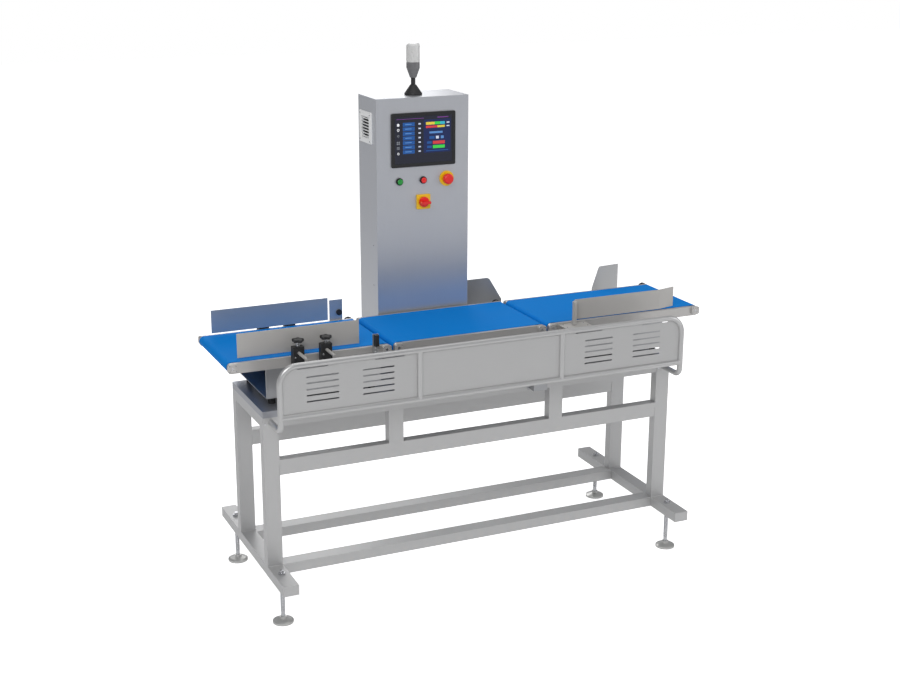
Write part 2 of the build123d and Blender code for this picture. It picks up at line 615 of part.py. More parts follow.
def photo_eye():
    """Sensor and reflector on plates, facing each other across the end of the infeed."""
    plate_y = FRONT_RAIL_Y - EYE_PLATE_THICK
    eye_top = EYE_BOTTOM + EYE_HEIGHT
    plate = block(EYE_X - EYE_PLATE_WIDTH / 2, EYE_X + EYE_PLATE_WIDTH / 2, plate_y, FRONT_RAIL_Y,
                  EYE_PLATE_BOTTOM, eye_top)
    plate -= rod("Y", EYE_X, plate_y, BEAM_Z, BEAM_HOLE, EYE_PLATE_THICK)
    body = block(EYE_X - EYE_WIDTH / 2, EYE_X + EYE_WIDTH / 2, plate_y - EYE_DEPTH, plate_y, EYE_BOTTOM, eye_top)
    reflector_plate = block(
        REFLECTOR_PLATE_LEFT, REFLECTOR_PLATE_RIGHT, REAR_RAIL_Y, REAR_RAIL_Y + EYE_PLATE_THICK,
        EYE_PLATE_BOTTOM, REFLECTOR_PLATE_TOP)
    reflector = rod("Y", EYE_X, REAR_RAIL_Y - REFLECTOR_THICK, BEAM_Z, REFLECTOR_RADIUS, REFLECTOR_THICK)
    nodes["eye_plates"] = [plate, reflector_plate]
    nodes["photo_eye"] = [chamfer(body.edges().filter_by(Axis.Z), 2), reflector]


def reject_arm():
    """Swing arm beside the outfeed belt, on the shaft of a rotary actuator under its bracket."""
    plate_z = BRACKET_TOP - BRACKET_SHEET
    bore = ARM_SHAFT_RADIUS + SHAFT_CLEARANCE
    depth = ACTUATOR_HEIGHT * 0.4
    plate = block(BRACKET_LEFT, BRACKET_RIGHT, BRACKET_FRONT, FRONT_RAIL_Y, plate_z, BRACKET_TOP)
    plate += block(BRACKET_LEFT, BRACKET_RIGHT, BRACKET_FRONT, BRACKET_FRONT + BRACKET_SHEET,
                   BRACKET_TOP - BRACKET_LIP, BRACKET_TOP)
    plate += block(BRACKET_LEFT, BRACKET_RIGHT, FRONT_RAIL_Y - BRACKET_SHEET, FRONT_RAIL_Y,
                   RAIL_BOTTOM, BRACKET_TOP)
    plate -= rod("Z", ARM_PIVOT_X, ARM_PIVOT_Y, plate_z, bore, BRACKET_SHEET)
    nodes["reject_bracket"] = [plate]
    actuator = rod("Z", ARM_PIVOT_X, ARM_PIVOT_Y, plate_z - ACTUATOR_HEIGHT, ACTUATOR_RADIUS, ACTUATOR_HEIGHT)
    actuator -= rod("Z", ARM_PIVOT_X, ARM_PIVOT_Y, plate_z - depth, bore, depth)
    nodes["reject_actuator"] = [actuator]
    path = Polyline((ARM_PIVOT_X, ARM_PIVOT_Y + ARM_BARREL_RADIUS - ARM_SHEET / 2),
                    (ARM_PIVOT_X + 2 * ARM_BARREL_RADIUS, ARM_PLANE_Y),
                    (ARM_BEND_X, ARM_PLANE_Y), (ARM_TIP_X, ARM_TIP_Y))
    sheet = Pos(0, 0, ARM_BOTTOM) * extrude(trace(path, ARM_SHEET), ARM_TOP - ARM_BOTTOM)
    barrel_z = BRACKET_TOP + KNOB_CLEARANCE
    arm = sheet + rod("Z", ARM_PIVOT_X, ARM_PIVOT_Y, barrel_z, ARM_BARREL_RADIUS, ARM_TOP - barrel_z)
    shaft_z = plate_z - depth + KNOB_CLEARANCE
    nodes["reject_arm"] = [arm + rod("Z", ARM_PIVOT_X, ARM_PIVOT_Y, shaft_z, ARM_SHAFT_RADIUS, barrel_z - shaft_z)]


def cheek(x, side, flare):
    """Upright sheet that leans away from the mouth, with one rounded top corner."""
    run = CHUTE_END_Y - CHUTE_START_Y
    length = run / math.cos(math.radians(flare))
    fall = run * math.tan(math.radians(CHUTE_SLOPE))
    start_z = CHUTE_FLOOR_Z - (CHUTE_START_Y - REAR_RAIL_Y) * math.tan(math.radians(CHUTE_SLOPE))
    outline = make_face(Polyline((0, start_z), (length, start_z - fall), (length, CHEEK_TOP - fall / 2),
                                 (CHEEK_LEAN, CHEEK_TOP), (0, BELT_TOP), (0, start_z)))
    outline = fillet(outline.vertices().group_by(Axis.Y)[-1], CHEEK_CORNER)
    turn = 90 - side * flare
    sheet = extrude(Plane.XZ * outline, amount=CHUTE_SHEET / 2, both=True)
    return Pos(x, CHUTE_START_Y, 0) * Rot(0, 0, turn) * sheet


def reject_chute():
    """Tray behind the outfeed that takes the rejected product, with two flared cheeks."""
    left_end = CHUTE_LEFT - (CHUTE_END_Y - CHUTE_START_Y) * math.tan(math.radians(CHUTE_LEFT_FLARE))
    right_end = CHUTE_RIGHT + (CHUTE_END_Y - CHUTE_START_Y) * math.tan(math.radians(CHUTE_RIGHT_FLARE))
    half = CHUTE_SHEET
    plan = make_face(Polyline(
        (CHUTE_LEFT + half, REAR_RAIL_Y + CHUTE_SHEET), (CHUTE_LEFT + half, CHUTE_START_Y),
        (left_end + half, CHUTE_END_Y), (right_end - half, CHUTE_END_Y), (CHUTE_RIGHT - half, CHUTE_START_Y),
        (CHUTE_RIGHT - half, REAR_RAIL_Y + CHUTE_SHEET), (CHUTE_LEFT + half, REAR_RAIL_Y + CHUTE_SHEET)))
    column = Pos(0, 0, CHUTE_FLOOR_Z - 200) * extrude(plan, 300)
    slope = Rot(-CHUTE_SLOPE, 0, 0)
    reach = 2 * (CHUTE_END_Y - REAR_RAIL_Y)
    slab = Pos(0, REAR_RAIL_Y, CHUTE_FLOOR_Z) * slope * block(
        left_end - reach, right_end + reach, -reach, reach, -CHUTE_SHEET, 0)
    floor = column & slab
    lip = block(CHUTE_LEFT + CHUTE_LIP_INSET, CHUTE_RIGHT - CHUTE_LIP_INSET, REAR_RAIL_Y,
                REAR_RAIL_Y + CHUTE_SHEET, CHUTE_FLOOR_Z - CHUTE_SHEET, CHUTE_FLOOR_Z + CHUTE_LIP_HEIGHT)
    nodes["reject_chute"] = [
        floor, lip, cheek(CHUTE_LEFT, -1, CHUTE_LEFT_FLARE), cheek(CHUTE_RIGHT, 1, CHUTE_RIGHT_FLARE)]


def pillar():
    """Welded sheet housing with a screwed rear cover, on two arms from the leg frame."""
    t = PILLAR_SHEET
    left, right, front, back = PILLAR_LEFT, PILLAR_RIGHT, PILLAR_FRONT, PILLAR_BACK
    inner_half = SCREEN_WIDTH / 2 - SCREEN_BORDER
    inner_rise = SCREEN_HEIGHT / 2 - SCREEN_BORDER
    face = block(left, right, front, front + t, PILLAR_BOTTOM, PILLAR_TOP)
    face -= block(SCREEN_X - inner_half, SCREEN_X + inner_half, front, front + t,
                  SCREEN_Z - inner_rise, SCREEN_Z + inner_rise)
    face -= [rod("Y", x, front, z, BARREL_RADIUS, t) for x, z in
             ((START_X, BUTTON_Z), (STOP_X, BUTTON_Z), (ESTOP_X, BUTTON_Z), (STOP_X, ISOLATOR_Z))]
    left_side = block(left, left + t, front + t, back, PILLAR_BOTTOM, PILLAR_TOP)
    left_side -= rod("X", left, VENT_Y, VENT_Z, FAN_RADIUS + FAN_TIP_GAP, t)
    nodes["pillar_shell"] = [
        face, left_side, block(right - t, right, front + t, back, PILLAR_BOTTOM, PILLAR_TOP),
        block(left + t, right - t, front + t, back, PILLAR_TOP - t, PILLAR_TOP),
        block(left + t, right - t, front + t, back, PILLAR_BOTTOM, PILLAR_BOTTOM + t)]
    nodes["rear_cover"] = [block(left, right, back, back + t, PILLAR_BOTTOM, PILLAR_TOP)]
    inset = 2 * COVER_SCREW_RADIUS
    heights = [PILLAR_BOTTOM + inset + k * (PILLAR_TOP - PILLAR_BOTTOM - 2 * inset) / 3 for k in range(4)]
    nodes["bolts"] = [
        rod("Y", x, back + t, z, COVER_SCREW_RADIUS, COVER_SCREW_HEIGHT)
        for x in (left + inset, right - inset) for z in heights]
    arms = [
        box_tube(x - TUBE_WIDE / 2, x + TUBE_WIDE / 2, FRAME_REAR, back,
                 PILLAR_BOTTOM - TUBE_NARROW, PILLAR_BOTTOM)
        for x in (PILLAR_X - ARM_SPREAD / 2, PILLAR_X + ARM_SPREAD / 2)]
    stay = block(PILLAR_X - STAY_WIDTH / 2, PILLAR_X + STAY_WIDTH / 2, FRAME_REAR, front,
                 TOP_BEAM_TOP - STAY_SHEET, TOP_BEAM_TOP)
    nodes["pillar_arms"] = arms + [stay]


def screen():
    """Touch screen: a plastic frame let into the front, with its glass and its rear housing."""
    y = PILLAR_FRONT
    frame = plate_xz(RectangleRounded(SCREEN_WIDTH, SCREEN_HEIGHT, SCREEN_CORNER), SCREEN_X,
                     y - SCREEN_PROUD, SCREEN_Z, SCREEN_PROUD)
    wide, high = SCREEN_WIDTH - 2 * SCREEN_BORDER, SCREEN_HEIGHT - 2 * SCREEN_BORDER
    pocket = GLASS_RECESS + GLASS_THICK
    frame -= plate_xz(Rectangle(wide, high), SCREEN_X, y - SCREEN_PROUD, SCREEN_Z, pocket)
    frame += plate_xz(Rectangle(wide - 1, high - 1), SCREEN_X, y, SCREEN_Z, SCREEN_DEPTH)
    nodes["screen_frame"] = [frame]
    nodes["screen_glass"] = [plate_xz(
        Rectangle(wide, high), SCREEN_X, y - SCREEN_PROUD + GLASS_RECESS, SCREEN_Z, GLASS_THICK)]


def barrel(x, z, flange_radius, flange_thick):
    """Switch body through the panel: a flange in front and a bored barrel behind it."""
    y = PILLAR_FRONT - flange_thick
    body = rod("Y", x, y, z, flange_radius, flange_thick)
    body += rod("Y", x, PILLAR_FRONT, z, BARREL_RADIUS, BARREL_DEPTH)
    bore = BUTTON_RADIUS + BUTTON_CLEARANCE
    return body - rod("Y", x, y, z, bore, flange_thick + BARREL_DEPTH - BUTTON_TRAVEL)


def switches():
    nodes["button_bezels"] = [barrel(x, BUTTON_Z, BEZEL_RADIUS, BEZEL_PROUD) for x in (START_X, STOP_X)]
    button_y = PILLAR_FRONT - BEZEL_PROUD - BUTTON_PROUD
    for name, x in (("start_button", START_X), ("stop_button", STOP_X)):
        cap = rod("Y", x, button_y, BUTTON_Z, BUTTON_RADIUS, BUTTON_LENGTH)
        nodes[name] = [fillet(cap.edges().group_by(Axis.Y)[0], 1.5)]
    collar = [barrel(ESTOP_X, BUTTON_Z, COLLAR_PLATE_RADIUS, COLLAR_PLATE_THICK)]
    head_y = PILLAR_FRONT - COLLAR_PLATE_THICK - MUSHROOM_GAP - MUSHROOM_HEIGHT
    head = rod("Y", ESTOP_X, head_y, BUTTON_Z, MUSHROOM_RADIUS, MUSHROOM_HEIGHT)
    head = fillet(head.edges().group_by(Axis.Y)[0], MUSHROOM_HEIGHT * 0.35)
    stem_y = head_y + MUSHROOM_HEIGHT
    nodes["estop_button"] = [head + rod("Y", ESTOP_X, stem_y, BUTTON_Z, BUTTON_RADIUS, BUTTON_LENGTH)]
    y = PILLAR_FRONT - ISOLATOR_THICK
    plate = plate_xz(RectangleRounded(ISOLATOR_PLATE, ISOLATOR_PLATE, 4), STOP_X, y, ISOLATOR_Z, ISOLATOR_THICK)
    plate += rod("Y", STOP_X, PILLAR_FRONT, ISOLATOR_Z, BARREL_RADIUS, BARREL_DEPTH)
    plate -= rod("Y", STOP_X, y, ISOLATOR_Z, ARM_SHAFT_RADIUS + SHAFT_CLEARANCE, ISOLATOR_THICK + ISOLATOR_HOLE)
    nodes["yellow_plates"] = collar + [plate]
    base_y = y - KNOB_CLEARANCE - HANDLE_BASE
    handle = rod("Y", STOP_X, base_y, ISOLATOR_Z, HANDLE_RADIUS, HANDLE_BASE)
    grip = plate_xz(SlotOverall(2 * HANDLE_RADIUS, HANDLE_GRIP_WIDTH), STOP_X, base_y - HANDLE_GRIP,
                    ISOLATOR_Z, HANDLE_GRIP)
    shaft = rod("Y", STOP_X, base_y + HANDLE_BASE, ISOLATOR_Z, ARM_SHAFT_RADIUS, KNOB_CLEARANCE + ISOLATOR_THICK)
    nodes["isolator_handle"] = [handle + grip + shaft]


def side_vent():
    """Louvred frame on the left side with the cooling fan behind it."""
    x = PILLAR_LEFT - VENT_THICK
    half, gap = VENT_SIZE / 2, VENT_OPENING / 2
    frame = block(x, PILLAR_LEFT, VENT_Y - half, VENT_Y + half, VENT_Z - half, VENT_Z + half)
    frame = fillet(frame.edges().filter_by(Axis.X), 4)
    frame -= block(x, PILLAR_LEFT, VENT_Y - gap, VENT_Y + gap, VENT_Z - gap, VENT_Z + gap)
    pitch = VENT_OPENING / VENT_SLATS
    for k in range(VENT_SLATS):
        z = VENT_Z - gap + (k + 0.5) * pitch
        frame += block(x + 1, PILLAR_LEFT, VENT_Y - gap, VENT_Y + gap, z - VENT_SLAT_THICK / 2, z + VENT_SLAT_THICK / 2)
    nodes["vent_louvre"] = [frame]
    inside = PILLAR_LEFT + PILLAR_SHEET
    housing = block(inside, inside + FAN_DEPTH, VENT_Y - gap, VENT_Y + gap, VENT_Z - gap, VENT_Z + gap)
    rotor_depth = FAN_DEPTH - PILLAR_SHEET - DRUM_CLEARANCE
    housing -= rod("X", inside, VENT_Y, VENT_Z, FAN_RADIUS + FAN_TIP_GAP, rotor_depth)
    hub_start = inside + BUTTON_CLEARANCE
    hub_depth = rotor_depth - 2 * BUTTON_CLEARANCE
    rotor = rod("X", hub_start, VENT_Y, VENT_Z, FAN_HUB, hub_depth)
    blade_span = FAN_RADIUS - FAN_HUB
    blade = Pos(0, FAN_HUB + blade_span / 2 - 1, 0) * Rot(0, 35, 0) * Box(hub_depth * 0.8, blade_span, 1.5)
    hub_centre = Pos(hub_start + hub_depth / 2, VENT_Y, VENT_Z)
    rotor += [hub_centre * Rot(360 * k / FAN_BLADES, 0, 0) * blade for k in range(FAN_BLADES)]
    nodes["pillar_modules"] = [housing]
    nodes["fan_rotor"] = [rotor]


def beacon():
    """Signal lamp on the pillar: flared base, neck, cup and lens."""
    z = PILLAR_TOP
    neck_top = BEACON_BASE_HEIGHT + BEACON_NECK_HEIGHT
    base = make_face(Polyline(
        (0, 0), (BEACON_BASE_RADIUS, 0), (BEACON_BASE_RADIUS, 6), (BEACON_NECK_RADIUS + 3, BEACON_BASE_HEIGHT),
        (BEACON_NECK_RADIUS, BEACON_BASE_HEIGHT), (BEACON_NECK_RADIUS, neck_top), (0, neck_top), (0, 0)))
    cup_top = neck_top + BEACON_CUP_HEIGHT
    cup = make_face(Polyline(
        (0, neck_top), (BEACON_NECK_RADIUS + 4, neck_top), (BEACON_CUP_RADIUS, neck_top + BEACON_CUP_HEIGHT * 0.6),
        (BEACON_CUP_RADIUS, cup_top), (0, cup_top), (0, neck_top)))
    lens = Rectangle(BEACON_CUP_RADIUS, BEACON_LENS_HEIGHT, align=Align.MIN)
    lens = fillet(lens.vertices().group_by(Axis.Y)[-1].sort_by(Axis.X)[-1], BEACON_CUP_RADIUS * 0.35)
    place = Pos(BEACON_X, BEACON_Y, z)
    nodes["beacon_base"] = [place * revolve(Plane.XZ * base, Axis.Z)]
    nodes["beacon_cup"] = [place * revolve(Plane.XZ * cup, Axis.Z)]
    nodes["beacon_lens"] = [place * Pos(0, 0, cup_top) * revolve(Plane.XZ * lens, Axis.Z)]


def control_modules():
    """Mounting plate inside the pillar with its power supply, controller and two drives."""
    front = PILLAR_BACK - BACK_PLATE_STANDOFF
    x0, x1 = PILLAR_X - BACK_PLATE_WIDTH / 2, PILLAR_X + BACK_PLATE_WIDTH / 2
    z0, z1 = BACK_PLATE_BOTTOM, BACK_PLATE_BOTTOM + BACK_PLATE_HEIGHT
    plate = block(x0, x1, front - BACK_PLATE_THICK, front, z0, z1)
    feet = [rod("Y", x, front, z, 5, BACK_PLATE_STANDOFF) for x in (x0 + 20, x1 - 20) for z in (z0 + 20, z1 - 20)]
    nodes["rear_cover"].append(plate + feet)
    face = front - BACK_PLATE_THICK
    sizes = ((60, 130, 110), (100, 110, 90), (60, 140, 100))
    x = x0 + 20
    for wide, high, deep in sizes:
        nodes["pillar_modules"].append(block(x, x + wide, face - deep, face, z0 + 300, z0 + 300 + high))
        x += wide + 15


def bolts():
    """Button-head bolts on the faces of the front uprights."""
    z = TOP_BEAM_TOP - FRAME_BOLT_DROP
    head_radius, head_height = 4.0, 3.0
    nodes["bolts"] += [rod("Y", x - FRAME_BOLT_INSET, FRAME_FRONT - head_height, z, head_radius, head_height)
                       for x in (LEG_LEFT, LEG_RIGHT)]


leg_frame()
deck_cover()
guard()
conveyor("infeed", *INFEED)
conveyor("weigh", *WEIGH)
conveyor("outfeed", *OUTFEED)
channel_stand(INFEED_STAND_LEFT, INFEED_STAND_RIGHT)
channel_stand(OUTFEED_STAND_LEFT, OUTFEED_STAND_RIGHT)
weighing_unit()
side_guides()
photo_eye()
reject_arm()
reject_chute()
pillar()
screen()
switches()
side_vent()
beacon()
control_modules()
bolts()

for node, pieces in nodes.items():
    solids = [solid for piece in pieces for solid in piece.solids()]
    shape = solids[0] if len(solids) == 1 else Compound(solids)
    export_step(shape, f"parts/{node}.step")
print(len(nodes), "nodes")
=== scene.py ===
# Checkweigher on a welded stand: finishes, screen, small fixings and a plain studio
import math

import bmesh
import bpy
from mathutils import Matrix, Vector


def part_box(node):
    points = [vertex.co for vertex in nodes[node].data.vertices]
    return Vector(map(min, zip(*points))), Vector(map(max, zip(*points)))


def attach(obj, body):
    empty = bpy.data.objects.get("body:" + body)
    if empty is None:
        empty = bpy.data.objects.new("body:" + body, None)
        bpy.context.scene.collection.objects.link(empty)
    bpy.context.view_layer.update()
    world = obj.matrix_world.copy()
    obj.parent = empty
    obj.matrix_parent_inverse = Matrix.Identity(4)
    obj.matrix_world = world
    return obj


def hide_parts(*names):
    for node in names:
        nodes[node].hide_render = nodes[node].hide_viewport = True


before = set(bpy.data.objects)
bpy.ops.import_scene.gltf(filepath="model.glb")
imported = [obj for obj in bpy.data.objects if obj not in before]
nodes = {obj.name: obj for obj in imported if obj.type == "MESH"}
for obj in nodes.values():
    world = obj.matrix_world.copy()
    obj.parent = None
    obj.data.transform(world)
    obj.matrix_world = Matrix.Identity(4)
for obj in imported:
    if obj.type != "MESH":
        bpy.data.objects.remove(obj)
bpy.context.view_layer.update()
print("frame:", len(nodes), "nodes loaded")


def mm(*values):
    return tuple(value * 0.001 for value in values)


def fromScreenColour(red, green, blue):
    # 0..255 values to the linear colour that Blender works in
    linear = [((v / 255 + 0.055) / 1.055) ** 2.4 if v > 10 else v / 255 / 12.92 for v in (red, green, blue)]
    return (*linear, 1.0)


# studio

studio = {
    "cameraPlace": (-2.3808, -5.1769, 2.6242),
    "yaw": 24.302,  # degrees from +Y towards +X
    "pitch": 16.551,  # degrees down
    "roll": 0.18,
    "lens": 59.02,
    "floorSize": 40.0,
    "floorColour": (0.93, 0.93, 0.93, 1.0),
    "floorGlow": 0.12,  # what the object sees
    "floorGlowInView": 0.75,  # what the camera sees
    "skyTop": (0.66, 0.66, 0.66, 1.0),
    "skyHorizon": (0.62, 0.63, 0.66, 1.0),
    "skyBelow": (0.5, 0.5, 0.5, 1.0),
    "skyStrength": 0.56,
}

softLights = [
    # name, place, aim, size in metres, watts
    ("keyLight", (-3.2, -4.2, 4.6), (0.0, 0.0, 0.9), 3.0, 140.0),
    ("sideLight", (4.6, -3.0, 2.6), (0.0, 0.0, 0.9), 3.0, 55.0),
    ("topLight", (0.3, 0.2, 5.2), (0.0, 0.0, 0.8), 3.5, 42.0),
    ("rearLight", (0.5, 4.6, 3.2), (0.0, 0.0, 1.0), 3.0, 50.0),
]


def placeCamera():
    camera = bpy.data.objects.new("studioCamera", bpy.data.cameras.new("studioCamera"))
    bpy.context.scene.collection.objects.link(camera)
    camera.data.lens = studio["lens"]
    camera.data.sensor_width = 36.0
    camera.data.clip_end = 100.0
    turn = Matrix.Rotation(math.radians(-studio["yaw"]), 4, "Z")
    tilt = Matrix.Rotation(math.radians(90.0 - studio["pitch"]), 4, "X")
    roll = Matrix.Rotation(math.radians(studio["roll"]), 4, "Z")
    camera.matrix_world = Matrix.Translation(studio["cameraPlace"]) @ turn @ tilt @ roll
    bpy.context.scene.camera = camera


def placeLights():
    for name, place, aim, size, watts in softLights:
        lamp = bpy.data.lights.new(name, "AREA")
        lamp.shape = "SQUARE"
        lamp.size = size
        lamp.energy = watts
        holder = bpy.data.objects.new(name, lamp)
        bpy.context.scene.collection.objects.link(holder)
        facing = (Vector(aim) - Vector(place)).to_track_quat("-Z", "Y").to_matrix().to_4x4()
        holder.matrix_world = Matrix.Translation(place) @ facing


def paintSky():
    # white to the camera, a soft gradient in reflections
    world = bpy.data.worlds.new("studioSky")
    bpy.context.scene.world = world
    world.use_nodes = True
    tree = world.node_tree
    tree.nodes.clear()
    link = tree.links.new
    output = tree.nodes.new("ShaderNodeOutputWorld")
    place = tree.nodes.new("ShaderNodeTexCoord")
    split = tree.nodes.new("ShaderNodeSeparateXYZ")
    ramp = tree.nodes.new("ShaderNodeValToRGB")
    stops = ramp.color_ramp.elements
    stops[0].position = 0.0
    stops[0].color = studio["skyBelow"]
    stops[1].position = 1.0
    stops[1].color = studio["skyTop"]
    horizon = stops.new(0.5)
    horizon.color = studio["skyHorizon"]
    spread = tree.nodes.new("ShaderNodeMapRange")
    spread.inputs["From Min"].default_value = -1.0
    spread.inputs["From Max"].default_value = 1.0
    soft = tree.nodes.new("ShaderNodeBackground")
    soft.inputs["Strength"].default_value = studio["skyStrength"]
    plain = tree.nodes.new("ShaderNodeBackground")
    plain.inputs["Color"].default_value = (1.0, 1.0, 1.0, 1.0)
    rays = tree.nodes.new("ShaderNodeLightPath")
    blend = tree.nodes.new("ShaderNodeMixShader")
    link(place.outputs["Generated"], split.inputs["Vector"])
    link(split.outputs["Z"], spread.inputs["Value"])
    link(spread.outputs["Result"], ramp.inputs["Fac"])
    link(ramp.outputs["Color"], soft.inputs["Color"])
    link(rays.outputs["Is Camera Ray"], blend.inputs["Fac"])
    link(soft.outputs["Background"], blend.inputs[1])
    link(plain.outputs["Background"], blend.inputs[2])
    link(blend.outputs["Shader"], output.inputs["Surface"])


def layFloor():
    half = studio["floorSize"] / 2
    mesh = bpy.data.meshes.new("studioFloor")
    corners = [(-half, -half, 0), (half, -half, 0), (half, half, 0), (-half, half, 0)]
    mesh.from_pydata(corners, [], [(0, 1, 2, 3)])
    floor = bpy.data.objects.new("studioFloor", mesh)
    bpy.context.scene.collection.objects.link(floor)
    material = bpy.data.materials.new("paleFloor")
    material.use_nodes = True
    shader = material.node_tree.nodes["Principled BSDF"]
    shader.inputs["Base Color"].default_value = studio["floorColour"]
    shader.inputs["Roughness"].default_value = 0.9
    shader.inputs["Emission Color"].default_value = (1.0, 1.0, 1.0, 1.0)
    rays = material.node_tree.nodes.new("ShaderNodeLightPath")
    glow = material.node_tree.nodes.new("ShaderNodeMapRange")
    glow.inputs["To Min"].default_value = studio["floorGlow"]
    glow.inputs["To Max"].default_value = studio["floorGlowInView"]
    material.node_tree.links.new(rays.outputs["Is Camera Ray"], glow.inputs["Value"])
    material.node_tree.links.new(glow.outputs["Result"], shader.inputs["Emission Strength"])
    mesh.materials.append(material)


placeCamera()
placeLights()
paintSky()
layFloor()
bpy.context.scene.view_settings.view_transform = "Standard"
print("studio: camera, lights and floor placed")


# shared surface effects, each a node group

def newGroup(name, takes, gives):
    group = bpy.data.node_groups.new(name, "ShaderNodeTree")
    for socketName, kind, value in takes:
        socket = group.interface.new_socket(socketName, in_out="INPUT", socket_type=kind)
        socket.default_value = value
    for socketName, kind in gives:
        group.interface.new_socket(socketName, in_out="OUTPUT", socket_type=kind)
    inside = group.nodes.new("NodeGroupInput")
    outside = group.nodes.new("NodeGroupOutput")
    return group, inside, outside


def mathNode(tree, operation, first, second=None):
    node = tree.nodes.new("ShaderNodeMath")
    node.operation = operation
    for socket, value in zip(node.inputs, (first, second)):
        if value is None:
            continue
        if isinstance(value, (int, float)):
            socket.default_value = value
        else:
            tree.links.new(value, socket)
    return node.outputs["Value"]


def makeGrainGroup():
    # noise drawn out along one direction: brushing lines, rolling lines or plain speckle
    group, inside, outside = newGroup(
        "metalGrain",
        [("Density", "NodeSocketVector", (200.0, 200.0, 200.0)), ("Detail", "NodeSocketFloat", 3.0)],
        [("Tone", "NodeSocketFloat"), ("Height", "NodeSocketFloat")],
    )
    place = group.nodes.new("ShaderNodeTexCoord")
    stretch = group.nodes.new("ShaderNodeVectorMath")
    stretch.operation = "MULTIPLY"
    fine = group.nodes.new("ShaderNodeTexNoise")
    fine.inputs["Scale"].default_value = 1.0
    fine.inputs["Roughness"].default_value = 0.6
    link = group.links.new
    link(place.outputs["Object"], stretch.inputs[0])
    link(inside.outputs["Density"], stretch.inputs[1])
    link(stretch.outputs["Vector"], fine.inputs["Vector"])
    link(inside.outputs["Detail"], fine.inputs["Detail"])
    link(fine.outputs["Fac"], outside.inputs["Height"])
    tone = mathNode(group, "SUBTRACT", fine.outputs["Fac"], 0.5)
    link(tone, outside.inputs["Tone"])
    return group


def makeCloudGroup():
    # broad, faint patches where hands and cloths have been
    group, inside, outside = newGroup(
        "handledPatches",
        [("Size", "NodeSocketFloat", 5.0)],
        [("Mask", "NodeSocketFloat")],
    )
    place = group.nodes.new("ShaderNodeTexCoord")
    broad = group.nodes.new("ShaderNodeTexNoise")
    broad.inputs["Detail"].default_value = 4.0
    broad.inputs["Roughness"].default_value = 0.55
    link = group.links.new
    link(place.outputs["Object"], broad.inputs["Vector"])
    link(inside.outputs["Size"], broad.inputs["Scale"])
    link(broad.outputs["Fac"], outside.inputs["Mask"])
    return group


edgeLook = {"radius": 0.0012, "samples": 4, "gain": 3.0}


def makeEdgeGroup():
    # rounded look of a deburred edge, and a mask of where the edge is
    group, inside, outside = newGroup(
        "easedEdge",
        [("Radius", "NodeSocketFloat", edgeLook["radius"])],
        [("Normal", "NodeSocketVector"), ("Edge", "NodeSocketFloat")],
    )
    bevel = group.nodes.new("ShaderNodeBevel")
    bevel.samples = edgeLook["samples"]
    surface = group.nodes.new("ShaderNodeNewGeometry")
    compare = group.nodes.new("ShaderNodeVectorMath")
    compare.operation = "DOT_PRODUCT"
    link = group.links.new
    link(inside.outputs["Radius"], bevel.inputs["Radius"])
    link(bevel.outputs["Normal"], compare.inputs[0])
    link(surface.outputs["Normal"], compare.inputs[1])
    turned = mathNode(group, "SUBTRACT", 1.0, compare.outputs["Value"])
    gained = mathNode(group, "MULTIPLY", turned, edgeLook["gain"])
    held = mathNode(group, "MINIMUM", gained, 1.0)
    link(bevel.outputs["Normal"], outside.inputs["Normal"])
    link(held, outside.inputs["Edge"])
    return group


finishRanges = {
    "grainDark": 0.75,  # darkest and lightest tone of the grain, as a share of the colour
    "grainLight": 1.25,
    "patchRough": 0.12,  # how far handled patches move the roughness
}

grainGroup = makeGrainGroup()
cloudGroup = makeCloudGroup()
edgeGroup = makeEdgeGroup()


def mixColours(tree, amount, first, second):
    node = tree.nodes.new("ShaderNodeMix")
    node.data_type = "RGBA"
    for socket, value in ((node.inputs[0], amount), (node.inputs[6], first), (node.inputs[7], second)):
        if isinstance(value, (int, float, tuple)):
            socket.default_value = value
        else:
            tree.links.new(value, socket)
    return node.outputs[2]


def scaledColour(colour, factor):
    return (*[min(1.0, channel * factor) for channel in colour[:3]], 1.0)


